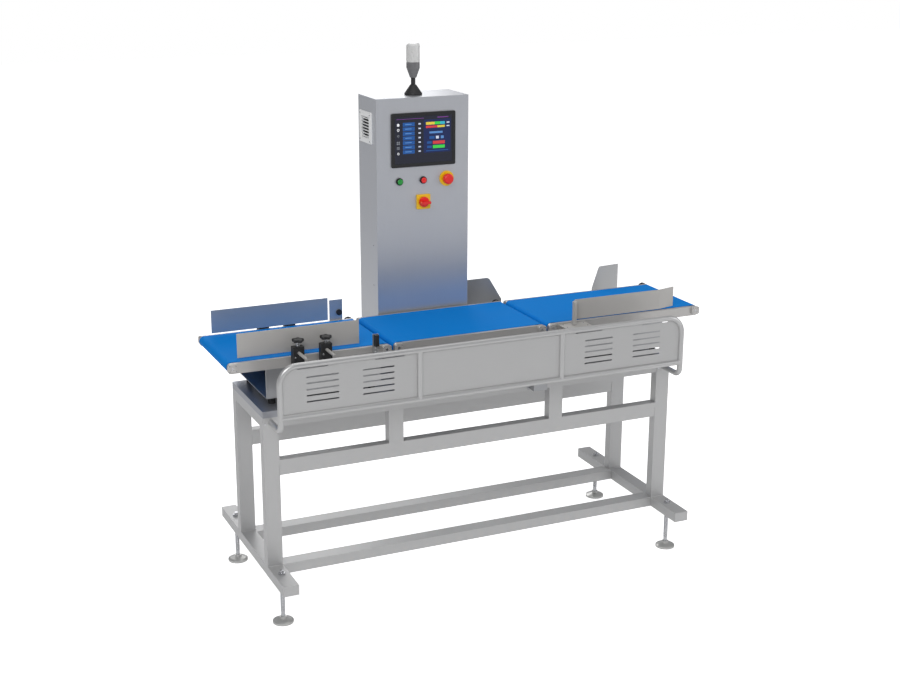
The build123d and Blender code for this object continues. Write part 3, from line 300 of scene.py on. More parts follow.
def newFinish(name, finish):
    material = bpy.data.materials.new(name)
    material.use_nodes = True
    tree = material.node_tree
    shader = tree.nodes["Principled BSDF"]
    link = tree.links.new
    colour = fromScreenColour(*finish["colour"])

    grain = tree.nodes.new("ShaderNodeGroup")
    grain.node_tree = grainGroup
    grain.inputs["Density"].default_value = finish["grain"]
    patches = tree.nodes.new("ShaderNodeGroup")
    patches.node_tree = cloudGroup
    patches.inputs["Size"].default_value = finish.get("patchSize", 5.0)
    eased = tree.nodes.new("ShaderNodeGroup")
    eased.node_tree = edgeGroup
    eased.inputs["Radius"].default_value = finish.get("edgeRadius", edgeLook["radius"])

    # colour: patches, then grain, then a painted highlight that lightens the edges by the edge tone
    tonePatches = mixColours(tree, patches.outputs["Mask"], scaledColour(colour, 1 - finish["variation"]),
                             scaledColour(colour, 1 + finish["variation"]))
    toneGrain = mathNode(tree, "MULTIPLY_ADD", grain.outputs["Tone"], finish["grainTone"])
    toneGrain.node.inputs[2].default_value = 0.5
    grained = mixColours(tree, toneGrain, scaledColour(colour, finishRanges["grainDark"]),
                         scaledColour(colour, finishRanges["grainLight"]))
    together = mixColours(tree, 0.5, tonePatches, grained)
    # painted highlight: the edge mask mixes a lighter copy of the colour in along every edge
    edgeAmount = mathNode(tree, "MULTIPLY", eased.outputs["Edge"], finish.get("edgeAmount", 0.35))
    finished = mixColours(tree, edgeAmount, together, scaledColour(colour, finish.get("edgeHighlightTone", 1.35)))
    link(finished, shader.inputs["Base Color"])

    # roughness follows the grain and the patches
    roughGrain = mathNode(tree, "MULTIPLY", grain.outputs["Tone"], finish.get("roughSpread", 0.2))
    roughBase = mathNode(tree, "ADD", roughGrain, finish["rough"])
    roughPatch = mathNode(tree, "MULTIPLY_ADD", patches.outputs["Mask"], finishRanges["patchRough"])
    roughPatch.node.inputs[2].default_value = -finishRanges["patchRough"] / 2
    link(mathNode(tree, "ADD", roughBase, roughPatch), shader.inputs["Roughness"])

    shader.inputs["Metallic"].default_value = finish["metal"]
    shader.inputs["Coat Weight"].default_value = finish.get("coat", 0.0)
    shader.inputs["Coat Roughness"].default_value = finish.get("coatRough", 0.15)
    shader.inputs["Specular IOR Level"].default_value = finish.get("specular", 0.5)

    bump = tree.nodes.new("ShaderNodeBump")
    bump.inputs["Strength"].default_value = finish.get("bump", 0.15)
    bump.inputs["Distance"].default_value = finish.get("bumpDepth", 0.0003)
    link(grain.outputs["Height"], bump.inputs["Height"])
    link(eased.outputs["Normal"], bump.inputs["Normal"])
    link(bump.outputs["Normal"], shader.inputs["Normal"])
    return material


# finishes, by the record's slots; colours are 0..255 as seen on screen

speckle = (900.0, 900.0, 900.0)
alongX = (12.0, 1400.0, 1400.0)
alongY = (1400.0, 12.0, 1400.0)
alongZ = (1400.0, 1400.0, 10.0)

# the edge tones below are painted highlights: a lighter colour along the edges
finishes = {
    "frame_tube": {"colour": (190, 190, 190), "metal": 0.55, "rough": 0.46, "grain": speckle,
                   "grainTone": 0.5, "variation": 0.06},
    "foot_metal": {"colour": (200, 200, 198), "metal": 0.85, "rough": 0.34, "grain": (1400.0, 1400.0, 200.0),
                   "grainTone": 0.5, "variation": 0.08},
    "machined_steel": {"colour": (196, 197, 200), "metal": 1.0, "rough": 0.26,
                       "grain": (300.0, 1600.0, 300.0), "grainTone": 0.4, "variation": 0.08,
                       "edgeRadius": 0.0006},
    "deck_sheet": {"colour": (158, 160, 166), "metal": 0.75, "rough": 0.38, "grain": alongX,
                   "grainTone": 0.6, "variation": 0.1},
    "guard_tube": {"colour": (192, 192, 192), "metal": 0.7, "rough": 0.36, "grain": speckle,
                   "grainTone": 0.35, "variation": 0.05},
    "guard_sheet": {"colour": (186, 186, 186), "metal": 0.5, "rough": 0.42, "grain": alongX,
                    "grainTone": 0.45, "variation": 0.05, "edgeRadius": 0.0008},
    "stand_sheet": {"colour": (168, 169, 172), "metal": 0.85, "rough": 0.36, "grain": alongX,
                    "grainTone": 0.5, "variation": 0.09},
    "aluminium_block": {"colour": (205, 206, 208), "metal": 0.9, "rough": 0.4, "grain": alongX,
                        "grainTone": 0.6, "variation": 0.05},
    "black_rubber": {"colour": (26, 26, 27), "metal": 0.0, "rough": 0.68, "grain": (700.0, 700.0, 700.0),
                     "grainTone": 0.8, "variation": 0.25, "edgeHighlightTone": 1.8, "bump": 0.35},
    "motor_casing": {"colour": (138, 140, 144), "metal": 0.6, "rough": 0.5, "grain": (420.0, 420.0, 420.0),
                     "grainTone": 0.7, "variation": 0.1, "bump": 0.45, "bumpDepth": 0.0006},
    "conveyor_steel": {"colour": (194, 192, 190), "metal": 0.6, "rough": 0.38, "grain": alongX,
                       "grainTone": 0.45, "variation": 0.08},
    "blue_belt": {"colour": (0, 126, 212), "metal": 0.0, "rough": 0.72, "grain": (1500.0, 1500.0, 1500.0),
                  "grainTone": 0.3, "variation": 0.06, "edgeHighlightTone": 1.15, "bump": 0.2, "specular": 0.08},
    "black_plastic": {"colour": (30, 30, 32), "metal": 0.0, "rough": 0.46, "grain": (1100.0, 1100.0, 1100.0),
                      "grainTone": 0.8, "variation": 0.2, "edgeHighlightTone": 2.0, "bump": 0.3},
    "guide_sheet": {"colour": (196, 197, 198), "metal": 0.8, "rough": 0.36, "grain": alongX,
                    "grainTone": 0.2, "variation": 0.06, "edgeRadius": 0.0007},
    # bright_sheet is painted light: a paler, more matt copy of the guide sheet for the front guide, reject
    # arm and bracket
    "bright_sheet": {"colour": (186, 184, 181), "metal": 0.3, "rough": 0.44, "grain": alongX,
                     "grainTone": 0.2, "variation": 0.05, "edgeRadius": 0.0007},
    "pillar_sheet": {"colour": (196, 198, 203), "metal": 0.7, "rough": 0.36, "grain": alongZ,
                     "grainTone": 0.4, "variation": 0.07, "patchSize": 2.5, "edgeRadius": 0.002},
    "module_plastic": {"colour": (74, 76, 80), "metal": 0.0, "rough": 0.55, "grain": speckle,
                       "grainTone": 0.8, "variation": 0.15, "bump": 0.3},
    "screen_plastic": {"colour": (16, 17, 20), "metal": 0.0, "rough": 0.32, "grain": (1300.0, 1300.0, 1300.0),
                       "grainTone": 0.6, "variation": 0.2, "coat": 0.3, "edgeHighlightTone": 2.2},
    "screen_display": {"colour": (10, 16, 40), "metal": 0.0, "rough": 0.12, "grain": (60.0, 60.0, 60.0),
                       "grainTone": 0.2, "variation": 0.15, "coat": 0.6, "coatRough": 0.05, "bump": 0.0},
    "green_plastic": {"colour": (10, 150, 50), "metal": 0.0, "rough": 0.3, "grain": speckle,
                      "grainTone": 0.4, "variation": 0.08, "coat": 0.4},
    "red_plastic": {"colour": (236, 26, 22), "metal": 0.0, "rough": 0.3, "grain": speckle,
                    "grainTone": 0.3, "variation": 0.07, "coat": 0.4, "edgeHighlightTone": 1.2},
    "yellow_plastic": {"colour": (250, 196, 8), "metal": 0.0, "rough": 0.34, "grain": speckle,
                       "grainTone": 0.3, "variation": 0.05, "coat": 0.3, "edgeHighlightTone": 1.1},
    "white_plastic": {"colour": (240, 240, 238), "metal": 0.0, "rough": 0.5, "grain": speckle,
                      "grainTone": 0.3, "variation": 0.03, "edgeHighlightTone": 1.05},
    "grey_plastic": {"colour": (112, 112, 114), "metal": 0.0, "rough": 0.4, "grain": speckle,
                     "grainTone": 0.5, "variation": 0.1, "coat": 0.2},
    "lens_plastic": {"colour": (244, 244, 242), "metal": 0.0, "rough": 0.3, "grain": (500.0, 500.0, 60.0),
                     "grainTone": 0.3, "variation": 0.05, "coat": 0.5, "edgeHighlightTone": 1.1},
}

materials = {name: newFinish(name + "_finish", finish) for name, finish in finishes.items()}

# the lamp's cap lets some light through
lens = materials["lens_plastic"].node_tree.nodes["Principled BSDF"]
lens.inputs["Transmission Weight"].default_value = 0.35
lens.inputs["IOR"].default_value = 1.45

for node in nodes.values():
    for holder in node.material_slots:
        holder.material = materials[holder.material.name.split(".")[0]]

# the infeed's front guide and the reject arm get a paler, less metallic copy of the guide sheet as painted
# light, since reflections make them look brighter than the rear guide; the switch rings are dark
ownFinish = {"front_guide": "bright_sheet", "reject_arm": "bright_sheet", "reject_bracket": "bright_sheet",
             "button_bezels": "black_plastic"}
for nodeName, finishName in ownFinish.items():
    for holder in nodes[nodeName].material_slots:
        holder.material = materials[finishName]
print("finishes:", len(materials), "materials on the packed nodes")


def addPiece(name, mesh, body="root"):
    piece = bpy.data.objects.new(name, mesh)
    bpy.context.scene.collection.objects.link(piece)
    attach(piece, body)
    return piece


def finishedMesh(name, work, slotNames):
    mesh = bpy.data.meshes.new(name)
    work.to_mesh(mesh)
    work.free()
    for slotName in slotNames:
        mesh.materials.append(materials[slotName])
    return mesh


def boxInto(work, low, high, materialIndex=0):
    # a plain block between two opposite corners
    across, deep, up = zip(low, high)
    points = [work.verts.new((x, y, z)) for x in across for y in deep for z in up]
    faces = ((0, 1, 3, 2), (4, 6, 7, 5), (0, 4, 5, 1), (2, 3, 7, 6), (0, 2, 6, 4), (1, 5, 7, 3))
    for face in faces:
        work.faces.new([points[k] for k in face]).material_index = materialIndex


def ringInto(work, middle, outer, inner, materialIndex=0, sides=20):
    # flat ring facing the front
    turns = [2 * math.pi * k / sides for k in range(sides)]
    spokes = [Vector((math.cos(a), 0, math.sin(a))) for a in turns]
    rims = [[work.verts.new(middle + spoke * radius) for spoke in spokes] for radius in (outer, inner)]
    for k in range(sides):
        corners = (rims[0][k], rims[0][(k + 1) % sides], rims[1][(k + 1) % sides], rims[1][k])
        work.faces.new(corners).material_index = materialIndex


def turnedInto(work, centre, rings, sides=48, lobes=0, materialIndex=0):
    # stacked rings about the upright through centre: (height, radius, depth of the lobes)
    rims = []
    for height, radius, depth in rings:
        rim = []
        for k in range(sides):
            a = 2 * math.pi * k / sides
            reach = radius * (1 + depth * math.cos(lobes * a))
            x = centre[0] + reach * math.cos(a)
            y = centre[1] + reach * math.sin(a)
            rim.append(work.verts.new((x, y, height)))
        rims.append(rim)
    for lower, upper in zip(rims, rims[1:]):
        for k in range(sides):
            n = (k + 1) % sides
            work.faces.new((lower[k], lower[n], upper[n], upper[k])).material_index = materialIndex
    work.faces.new(list(reversed(rims[0]))).material_index = materialIndex
    work.faces.new(rims[-1]).material_index = materialIndex


# screen picture: plain bars and dots, no lettering

screenPicture = {  # edges in mm
    "left": -184.0, "right": 66.0, "bottom": 1640.0, "top": 1797.0,
    "front": 226.42,
    "thick": 0.06,
    "glow": 0.45,
    "dotPitch": (2200.0, 1.0, 2200.0),
    "ringHole": 0.55,
    "roof": ((0.035, 0.2), (0.087, 0.2), (0.061, 0.155)),
}

screenColours = {
    "panelNavy": (20, 34, 78),
    "rowBlue": (26, 78, 142),
    "rowLight": (84, 132, 190),
    "paleLine": (196, 204, 222),
    "iconWhite": (236, 238, 240),
    "iconGrey": (120, 124, 130),
    "barGreen": (60, 196, 70),
    "barYellow": (214, 190, 60),
    "barCyan": (50, 170, 190),
    "barRed": (200, 56, 62),
    "barPurple": (118, 60, 140),
}

# left, top, right, bottom as shares of the picture, from its top left corner, and how far it stands forward
screenShapes = [(0.5, 0.1, 0.97, 0.95, "panelNavy", 0)]
for k in range(7):
    rowTop = 0.15 + 0.116 * k
    screenShapes.append((0.14, rowTop, 0.345, rowTop + 0.098, "rowBlue", 0))
    screenShapes.append((0.18, rowTop + 0.036, 0.29, rowTop + 0.056, "rowLight", 1))
    screenShapes.append((0.41, rowTop + 0.03, 0.45, rowTop + 0.066, "paleLine", 0))
screenShapes += [
    (0.03, 0.055, 0.5, 0.065, "barPurple", 0),
    (0.74, 0.045, 0.93, 0.065, "barPurple", 0),
    (0.54, 0.165, 0.69, 0.235, "barYellow", 1),
    (0.69, 0.165, 0.79, 0.235, "barGreen", 1),
    (0.79, 0.165, 0.87, 0.235, "barCyan", 1),
    (0.90, 0.18, 0.95, 0.215, "paleLine", 1),
    (0.54, 0.26, 0.74, 0.315, "barRed", 1),
    (0.74, 0.26, 0.87, 0.315, "barYellow", 1),
    (0.90, 0.27, 0.95, 0.3, "paleLine", 1),
    (0.60, 0.41, 0.83, 0.46, "rowLight", 1),
    (0.60, 0.53, 0.69, 0.6, "rowBlue", 1),
    (0.715, 0.53, 0.765, 0.6, "paleLine", 1),
    (0.80, 0.53, 0.85, 0.6, "rowLight", 1),
    (0.56, 0.66, 0.64, 0.72, "rowBlue", 1),
    (0.66, 0.655, 0.87, 0.735, "barRed", 1),
    (0.56, 0.77, 0.64, 0.83, "rowBlue", 1),
    (0.66, 0.765, 0.87, 0.845, "barGreen", 1),
    (0.54, 0.89, 0.93, 0.91, "rowBlue", 1),
]
# the icon column: a house, rings, a grid and lines, all plain shapes
for x, y in ((0.035, 0.62), (0.065, 0.62), (0.035, 0.665), (0.065, 0.665)):
    screenShapes.append((x, y, x + 0.022, y + 0.034, "iconGrey", 0))
for y in (0.755, 0.782, 0.809):
    screenShapes.append((0.035, y, 0.085, y + 0.014, "iconGrey", 0))
screenShapes.append((0.043, 0.2, 0.079, 0.235, "iconWhite", 0))
screenRings = [(0.061, 0.33, 0.0052, "iconWhite"), (0.061, 0.48, 0.0046, "iconGrey"),
               (0.061, 0.93, 0.0046, "iconWhite")]  # middle as shares, radius in metres


def litColour(name, colour):
    # a lit patch of the display, with the display's fine dot pitch in it
    material = bpy.data.materials.new(name)
    material.use_nodes = True
    tree = material.node_tree
    shader = tree.nodes["Principled BSDF"]
    linear = fromScreenColour(*colour)
    dots = tree.nodes.new("ShaderNodeGroup")
    dots.node_tree = grainGroup
    dots.inputs["Density"].default_value = screenPicture["dotPitch"]
    amount = mathNode(tree, "MULTIPLY_ADD", dots.outputs["Tone"], 0.6)
    amount.node.inputs[2].default_value = 0.6
    shade = mixColours(tree, amount, scaledColour(linear, 0.7), linear)
    tree.links.new(shade, shader.inputs["Base Color"])
    tree.links.new(shade, shader.inputs["Emission Color"])
    shader.inputs["Emission Strength"].default_value = screenPicture["glow"]
    shader.inputs["Roughness"].default_value = 0.2
    return material


def onScreen(across, down, front):
    # a place given as shares of the lit picture, from its top left corner
    wide = screenPicture["right"] - screenPicture["left"]
    high = screenPicture["top"] - screenPicture["bottom"]
    return Vector(mm(screenPicture["left"] + across * wide, front, screenPicture["top"] - down * high))


def makeScreenPicture():
    front, thick = screenPicture["front"], screenPicture["thick"]
    names = list(screenColours)
    work = bmesh.new()
    for left, top, right, bottom, colour, layer in screenShapes:
        face = front - layer * thick
        boxInto(work, onScreen(left, bottom, face), onScreen(right, top, face + thick), names.index(colour))
    for across, down, radius, colour in screenRings:
        ringInto(work, onScreen(across, down, front), radius, radius * screenPicture["ringHole"],
                 names.index(colour))
    roof = [work.verts.new(onScreen(across, down, front)) for across, down in screenPicture["roof"]]
    work.faces.new(roof).material_index = names.index("iconWhite")
    mesh = finishedMesh("screenPicture", work, [])
    for name in names:
        mesh.materials.append(litColour("lit_" + name, screenColours[name]))
    addPiece("screenPicture", mesh)


makeScreenPicture()
print("screen:", len(screenShapes), "lit shapes")


# repeated small parts, made by Geometry Nodes

def newNodeTree(name, takes):
    tree = bpy.data.node_groups.new(name, "GeometryNodeTree")
    tree.interface.new_socket("Geometry", in_out="INPUT", socket_type="NodeSocketGeometry")
    for socketName, kind in takes:
        tree.interface.new_socket(socketName, in_out="INPUT", socket_type=kind)
    tree.interface.new_socket("Geometry", in_out="OUTPUT", socket_type="NodeSocketGeometry")
    inside = tree.nodes.new("NodeGroupInput")
    outside = tree.nodes.new("NodeGroupOutput")
    return tree, inside, outside


def pointMesh(name, points, facings=None, edges=()):
    mesh = bpy.data.meshes.new(name)
    mesh.from_pydata(points, list(edges), [])
    if facings:
        facing = mesh.attributes.new("facing", "FLOAT_VECTOR", "POINT")
        for k, value in enumerate(facings):
            facing.data[k].vector = value
    return mesh


def growPiece(name, base, tree, values, body="root"):
    # runs the tree on a base mesh and keeps the result as a plain mesh
    grower = bpy.data.objects.new(name + "Base", base)
    bpy.context.scene.collection.objects.link(grower)
    modifier = grower.modifiers.new("grow", "NODES")
    modifier.node_group = tree
    for socket in tree.interface.items_tree:
        if socket.item_type == "SOCKET" and socket.in_out == "INPUT" and socket.name in values:
            modifier[socket.identifier] = values[socket.name]
    bpy.context.view_layer.update()
    evaluated = grower.evaluated_get(bpy.context.evaluated_depsgraph_get())
    mesh = bpy.data.meshes.new_from_object(evaluated)
    mesh.name = name
    grower.modifiers.remove(modifier)
    bpy.data.objects.remove(grower)
    return addPiece(name, mesh, body)


screwShape = {
    # shares of the head's height and radius
    "sides": 20,
    "rimHeight": 0.6,
    "domeHeight": 0.4,
    "domeTop": 0.72,
    "socketRadius": 0.42,
    "socketHeight": 0.1,
    "socketLift": 0.97,
}


def makeScrewTree():
    # a domed head with a hexagon socket on every point, turned to face outwards
    tree, inside, outside = newNodeTree("screwHeads", [
        ("Head Radius", "NodeSocketFloat"), ("Head Height", "NodeSocketFloat"),
        ("Metal", "NodeSocketMaterial"), ("Dark", "NodeSocketMaterial")])
    link = tree.links.new
    rim = tree.nodes.new("GeometryNodeMeshCylinder")
    rim.inputs["Vertices"].default_value = screwShape["sides"]
    dome = tree.nodes.new("GeometryNodeMeshCone")
    dome.inputs["Vertices"].default_value = screwShape["sides"]
    hexagon = tree.nodes.new("GeometryNodeMeshCylinder")
    hexagon.inputs["Vertices"].default_value = 6
    radius = inside.outputs["Head Radius"]
    height = inside.outputs["Head Height"]
    metal = inside.outputs["Metal"]

    def share(size, part):
        return mathNode(tree, "MULTIPLY", size, part)

    def placed(geometry, lift, material):
        move = tree.nodes.new("GeometryNodeTransform")
        offset = tree.nodes.new("ShaderNodeCombineXYZ")
        paint = tree.nodes.new("GeometryNodeSetMaterial")
        link(lift, offset.inputs["Z"])
        link(geometry, move.inputs["Geometry"])
        link(offset.outputs["Vector"], move.inputs["Translation"])
        link(move.outputs["Geometry"], paint.inputs["Geometry"])
        link(material, paint.inputs["Material"])
        return paint.outputs["Geometry"]

    link(radius, rim.inputs["Radius"])
    link(share(height, screwShape["rimHeight"]), rim.inputs["Depth"])
    link(share(radius, screwShape["domeTop"]), dome.inputs["Radius Top"])
    link(radius, dome.inputs["Radius Bottom"])
    link(share(height, screwShape["domeHeight"]), dome.inputs["Depth"])
    link(share(radius, screwShape["socketRadius"]), hexagon.inputs["Radius"])
    link(share(height, screwShape["socketHeight"]), hexagon.inputs["Depth"])

    head = tree.nodes.new("GeometryNodeJoinGeometry")
    rimMiddle = share(height, screwShape["rimHeight"] / 2)
    link(placed(rim.outputs["Mesh"], rimMiddle, metal), head.inputs["Geometry"])
    domeFoot = share(height, screwShape["rimHeight"])
    link(placed(dome.outputs["Mesh"], domeFoot, metal), head.inputs["Geometry"])
    socketLift = share(height, screwShape["socketLift"])
    link(placed(hexagon.outputs["Mesh"], socketLift, inside.outputs["Dark"]), head.inputs["Geometry"])

    facing = tree.nodes.new("GeometryNodeInputNamedAttribute")
    facing.data_type = "FLOAT_VECTOR"
    facing.inputs["Name"].default_value = "facing"
    align = tree.nodes.new("FunctionNodeAlignRotationToVector")
    align.axis = "Z"
    toPoints = tree.nodes.new("GeometryNodeMeshToPoints")
    heads = tree.nodes.new("GeometryNodeInstanceOnPoints")
    realize = tree.nodes.new("GeometryNodeRealizeInstances")
    link(facing.outputs["Attribute"], align.inputs["Vector"])
    link(inside.outputs["Geometry"], toPoints.inputs["Mesh"])
    link(toPoints.outputs["Points"], heads.inputs["Points"])
    link(head.outputs["Geometry"], heads.inputs["Instance"])
    link(align.outputs["Rotation"], heads.inputs["Rotation"])
    link(heads.outputs["Instances"], realize.inputs["Geometry"])
    link(realize.outputs["Geometry"], outside.inputs["Geometry"])
    return tree


screwTree = makeScrewTree()


def growScrews(name, screws, points, facings):
    values = {"Head Radius": screws["headRadius"] / 1000, "Head Height": screws["headHeight"] / 1000,
              "Metal": materials["machined_steel"], "Dark": materials["black_plastic"]}
    growPiece(name, pointMesh(name + "Places", points, facings), screwTree, values)
    return len(points)


# four screws on each bearing block, front and rear, in mm
bearingScrews = {
    "conveyorEnds": ((-1015.0, -370.0), (-360.0, 295.0), (305.0, 1015.0)),
    "fromEnd": 19.5,
    "spreadX": 12.0,
    "spreadZ": 10.5,
    "height": 980.5,
    "faces": ((-188.5, -1), (227.5, 1)),  # y and the way out
    "headRadius": 2.8,
    "headHeight": 1.8,
}


def makeBearingScrews():
    screws = bearingScrews
    points, facings = [], []
    for left, right in screws["conveyorEnds"]:
        for centre in (left + screws["fromEnd"], right - screws["fromEnd"]):
            for dx in (-screws["spreadX"], screws["spreadX"]):
                for dz in (-screws["spreadZ"], screws["spreadZ"]):
                    for face, out in screws["faces"]:
                        points.append(mm(centre + dx, face, screws["height"] + dz))
                        facings.append((0, out, 0))
    return growScrews("bearingScrews", screws, points, facings)


# screws on plain places: (x, y, z) in mm and the way each head looks
plateScrews = {
    "headRadius": 3.2,
    "headHeight": 2.0,
    "places": [
        # pillar's left side
        ((-260.0, 275.0, 1276.0), (-1, 0, 0)), ((-260.0, 275.0, 1111.0), (-1, 0, 0)),
        ((-260.0, 275.0, 770.0), (-1, 0, 0)),
        # vent corners
        ((-266.0, 288.0, 1696.0), (-1, 0, 0)), ((-266.0, 393.0, 1696.0), (-1, 0, 0)),
        ((-266.0, 288.0, 1801.0), (-1, 0, 0)), ((-266.0, 393.0, 1801.0), (-1, 0, 0)),
        # photo-eye bracket and reflector plate
        ((-435.0, -183.5, 975.0), (0, -1, 0)), ((-435.0, -183.5, 990.0), (0, -1, 0)),
        ((-462.0, 222.5, 975.0), (0, 1, 0)), ((-434.0, 222.5, 975.0), (0, 1, 0)),
        # reject bracket
        ((365.0, -232.0, 992.0), (0, 0, 1)), ((457.0, -232.0, 992.0), (0, 0, 1)),
        ((365.0, -195.0, 992.0), (0, 0, 1)), ((457.0, -195.0, 992.0), (0, 0, 1)),
    ],
}


def makePlateScrews():
    points = [mm(*place) for place, facing in plateScrews["places"]]
    facings = [facing for place, facing in plateScrews["places"]]
    return growScrews("plateScrews", plateScrews, points, facings)


# four screws on the face of each clamp block, in mm
clampScrews = {
    "columns": (-749.0, -640.0),
    "spreadX": 14.0,
    "levels": (974.0, 1002.0),
    "faces": ((-211.5, -1), (250.5, 1)),  # y and the way out
    "headRadius": 3.4,
    "headHeight": 2.6,
}


def makeClampScrews():
    screws = clampScrews
    points, facings = [], []
    for column in screws["columns"]:
        for dx in (-screws["spreadX"], screws["spreadX"]):
            for level in screws["levels"]:
                for face, out in screws["faces"]:
                    points.append(mm(column + dx, face, level))
                    facings.append((0, out, 0))
    return growScrews("clampScrews", screws, points, facings)


screwCount = makeBearingScrews() + makePlateScrews() + makeClampScrews()
print("fixings:", screwCount, "screw heads")


# threads on the levelling feet, in mm
footThread = {
    "legs": (-875.0, 815.0),
    "rows": (-318.0, 282.0),
    "start": 46.0,
    "pitch": 2.5,
    "count": 44,
    "radius": 8.0,
    "thickness": 0.7,
    "sides": 16,
    "crestSides": 4,
}


def makeRingTree():
    # a column of thin rings on every point, for the threads
    tree, inside, outside = newNodeTree("ringColumn", [
        ("Count", "NodeSocketInt"), ("Pitch", "NodeSocketFloat"), ("Radius", "NodeSocketFloat"),
        ("Thickness", "NodeSocketFloat"), ("Metal", "NodeSocketMaterial")])
    link = tree.links.new
    column = tree.nodes.new("GeometryNodeMeshLine")
    column.mode = "OFFSET"
    step = tree.nodes.new("ShaderNodeCombineXYZ")
    ring = tree.nodes.new("GeometryNodeCurvePrimitiveCircle")
    ring.inputs["Resolution"].default_value = footThread["sides"]
    profile = tree.nodes.new("GeometryNodeCurvePrimitiveCircle")
    profile.inputs["Resolution"].default_value = footThread["crestSides"]
    sweep = tree.nodes.new("GeometryNodeCurveToMesh")
    stack = tree.nodes.new("GeometryNodeInstanceOnPoints")
    each = tree.nodes.new("GeometryNodeInstanceOnPoints")
    realize = tree.nodes.new("GeometryNodeRealizeInstances")
    paint = tree.nodes.new("GeometryNodeSetMaterial")
    link(inside.outputs["Count"], column.inputs["Count"])
    link(inside.outputs["Pitch"], step.inputs["Z"])
    link(step.outputs["Vector"], column.inputs["Offset"])
    link(inside.outputs["Radius"], ring.inputs["Radius"])
    link(inside.outputs["Thickness"], profile.inputs["Radius"])
    link(ring.outputs["Curve"], sweep.inputs["Curve"])
    link(profile.outputs["Curve"], sweep.inputs["Profile Curve"])
    link(column.outputs["Mesh"], stack.inputs["Points"])
    link(sweep.outputs["Mesh"], stack.inputs["Instance"])
    link(inside.outputs["Geometry"], each.inputs["Points"])
    link(stack.outputs["Instances"], each.inputs["Instance"])
    link(each.outputs["Instances"], realize.inputs["Geometry"])
    link(realize.outputs["Geometry"], paint.inputs["Geometry"])
    link(inside.outputs["Metal"], paint.inputs["Material"])
    link(paint.outputs["Geometry"], outside.inputs["Geometry"])
    return tree


ringTree = makeRingTree()


def makeFootThreads():
    points = [mm(x, y, footThread["start"]) for x in footThread["legs"] for y in footThread["rows"]]
    growPiece("footThreads", pointMesh("footThreadPlaces", points), ringTree,
              {"Count": footThread["count"], "Pitch": footThread["pitch"] / 1000,
               "Radius": footThread["radius"] / 1000, "Thickness": footThread["thickness"] / 1000,
               "Metal": materials["machined_steel"]})


makeFootThreads()


def makeRibTree():
    # upright ribs around a circle
    tree, inside, outside = newNodeTree("ribRing", [
        ("Count", "NodeSocketInt"), ("Ring Radius", "NodeSocketFloat"), ("Rib Radius", "NodeSocketFloat"),
        ("Rib Height", "NodeSocketFloat"), ("Plastic", "NodeSocketMaterial")])
    link = tree.links.new
    circle = tree.nodes.new("GeometryNodeMeshCircle")
    rib = tree.nodes.new("GeometryNodeMeshCylinder")
    rib.inputs["Vertices"].default_value = 8
    around = tree.nodes.new("GeometryNodeInstanceOnPoints")
    each = tree.nodes.new("GeometryNodeInstanceOnPoints")
    realize = tree.nodes.new("GeometryNodeRealizeInstances")
    paint = tree.nodes.new("GeometryNodeSetMaterial")
    link(inside.outputs["Count"], circle.inputs["Vertices"])
    link(inside.outputs["Ring Radius"], circle.inputs["Radius"])
    link(inside.outputs["Rib Radius"], rib.inputs["Radius"])
    link(inside.outputs["Rib Height"], rib.inputs["Depth"])
    link(circle.outputs["Mesh"], around.inputs["Points"])
    link(rib.outputs["Mesh"], around.inputs["Instance"])
    link(inside.outputs["Geometry"], each.inputs["Points"])
    link(around.outputs["Instances"], each.inputs["Instance"])
    link(each.outputs["Instances"], realize.inputs["Geometry"])
    link(realize.outputs["Geometry"], paint.inputs["Geometry"])
    link(inside.outputs["Plastic"], paint.inputs["Material"])
    link(paint.outputs["Geometry"], outside.inputs["Geometry"])
    return tree


ribTree = makeRibTree()

beaconRibs = {
    # the middle of each ring of ribs and its sizes, in mm
    "lensRibs": {"slot": "lens_plastic", "centre": (-66.3, 316.0, 2033.0), "count": 30,
                 "ringRadius": 26.2, "ribRadius": 0.9, "height": 58.0},
    "cupRibs": {"slot": "grey_plastic", "centre": (-66.3, 316.0, 1988.0), "count": 36,
                "ringRadius": 26.3, "ribRadius": 0.7, "height": 20.0},
}


def makeBeaconRibs():
    for name, ribs in beaconRibs.items():
        growPiece(name, pointMesh(name + "Place", [mm(*ribs["centre"])]), ribTree,
                  {"Count": ribs["count"], "Ring Radius": ribs["ringRadius"] / 1000,
                   "Rib Radius": ribs["ribRadius"] / 1000, "Rib Height": ribs["height"] / 1000,
                   "Plastic": materials[ribs["slot"]]})


makeBeaconRibs()
print("threads and ribs made")


def makeWeldTree():
    # overlapping beads along each edge of the base mesh
    tree, inside, outside = newNodeTree("weldBeads", [
        ("Spacing", "NodeSocketFloat"), ("Bead Radius", "NodeSocketFloat"),
        ("Metal", "NodeSocketMaterial")])
    link = tree.links.new
    toCurve = tree.nodes.new("GeometryNodeMeshToCurve")
    resample = tree.nodes.new("GeometryNodeResampleCurve")
    resample.mode = "LENGTH"
    bead = tree.nodes.new("GeometryNodeMeshIcoSphere")
    bead.inputs["Subdivisions"].default_value = 1
    along = tree.nodes.new("GeometryNodeInstanceOnPoints")
    realize = tree.nodes.new("GeometryNodeRealizeInstances")
    smooth = tree.nodes.new("GeometryNodeSetShadeSmooth")
    paint = tree.nodes.new("GeometryNodeSetMaterial")
    link(inside.outputs["Geometry"], toCurve.inputs["Mesh"])
    link(toCurve.outputs["Curve"], resample.inputs["Curve"])
    link(inside.outputs["Spacing"], resample.inputs["Length"])
    link(inside.outputs["Bead Radius"], bead.inputs["Radius"])
    link(resample.outputs["Curve"], along.inputs["Points"])
    link(bead.outputs["Mesh"], along.inputs["Instance"])
    link(along.outputs["Instances"], realize.inputs["Geometry"])
    link(realize.outputs["Geometry"], smooth.inputs["Geometry"])
    link(smooth.outputs["Geometry"], paint.inputs["Geometry"])
    link(inside.outputs["Metal"], paint.inputs["Material"])
    link(paint.outputs["Geometry"], outside.inputs["Geometry"])
    return tree


weldTree = makeWeldTree()

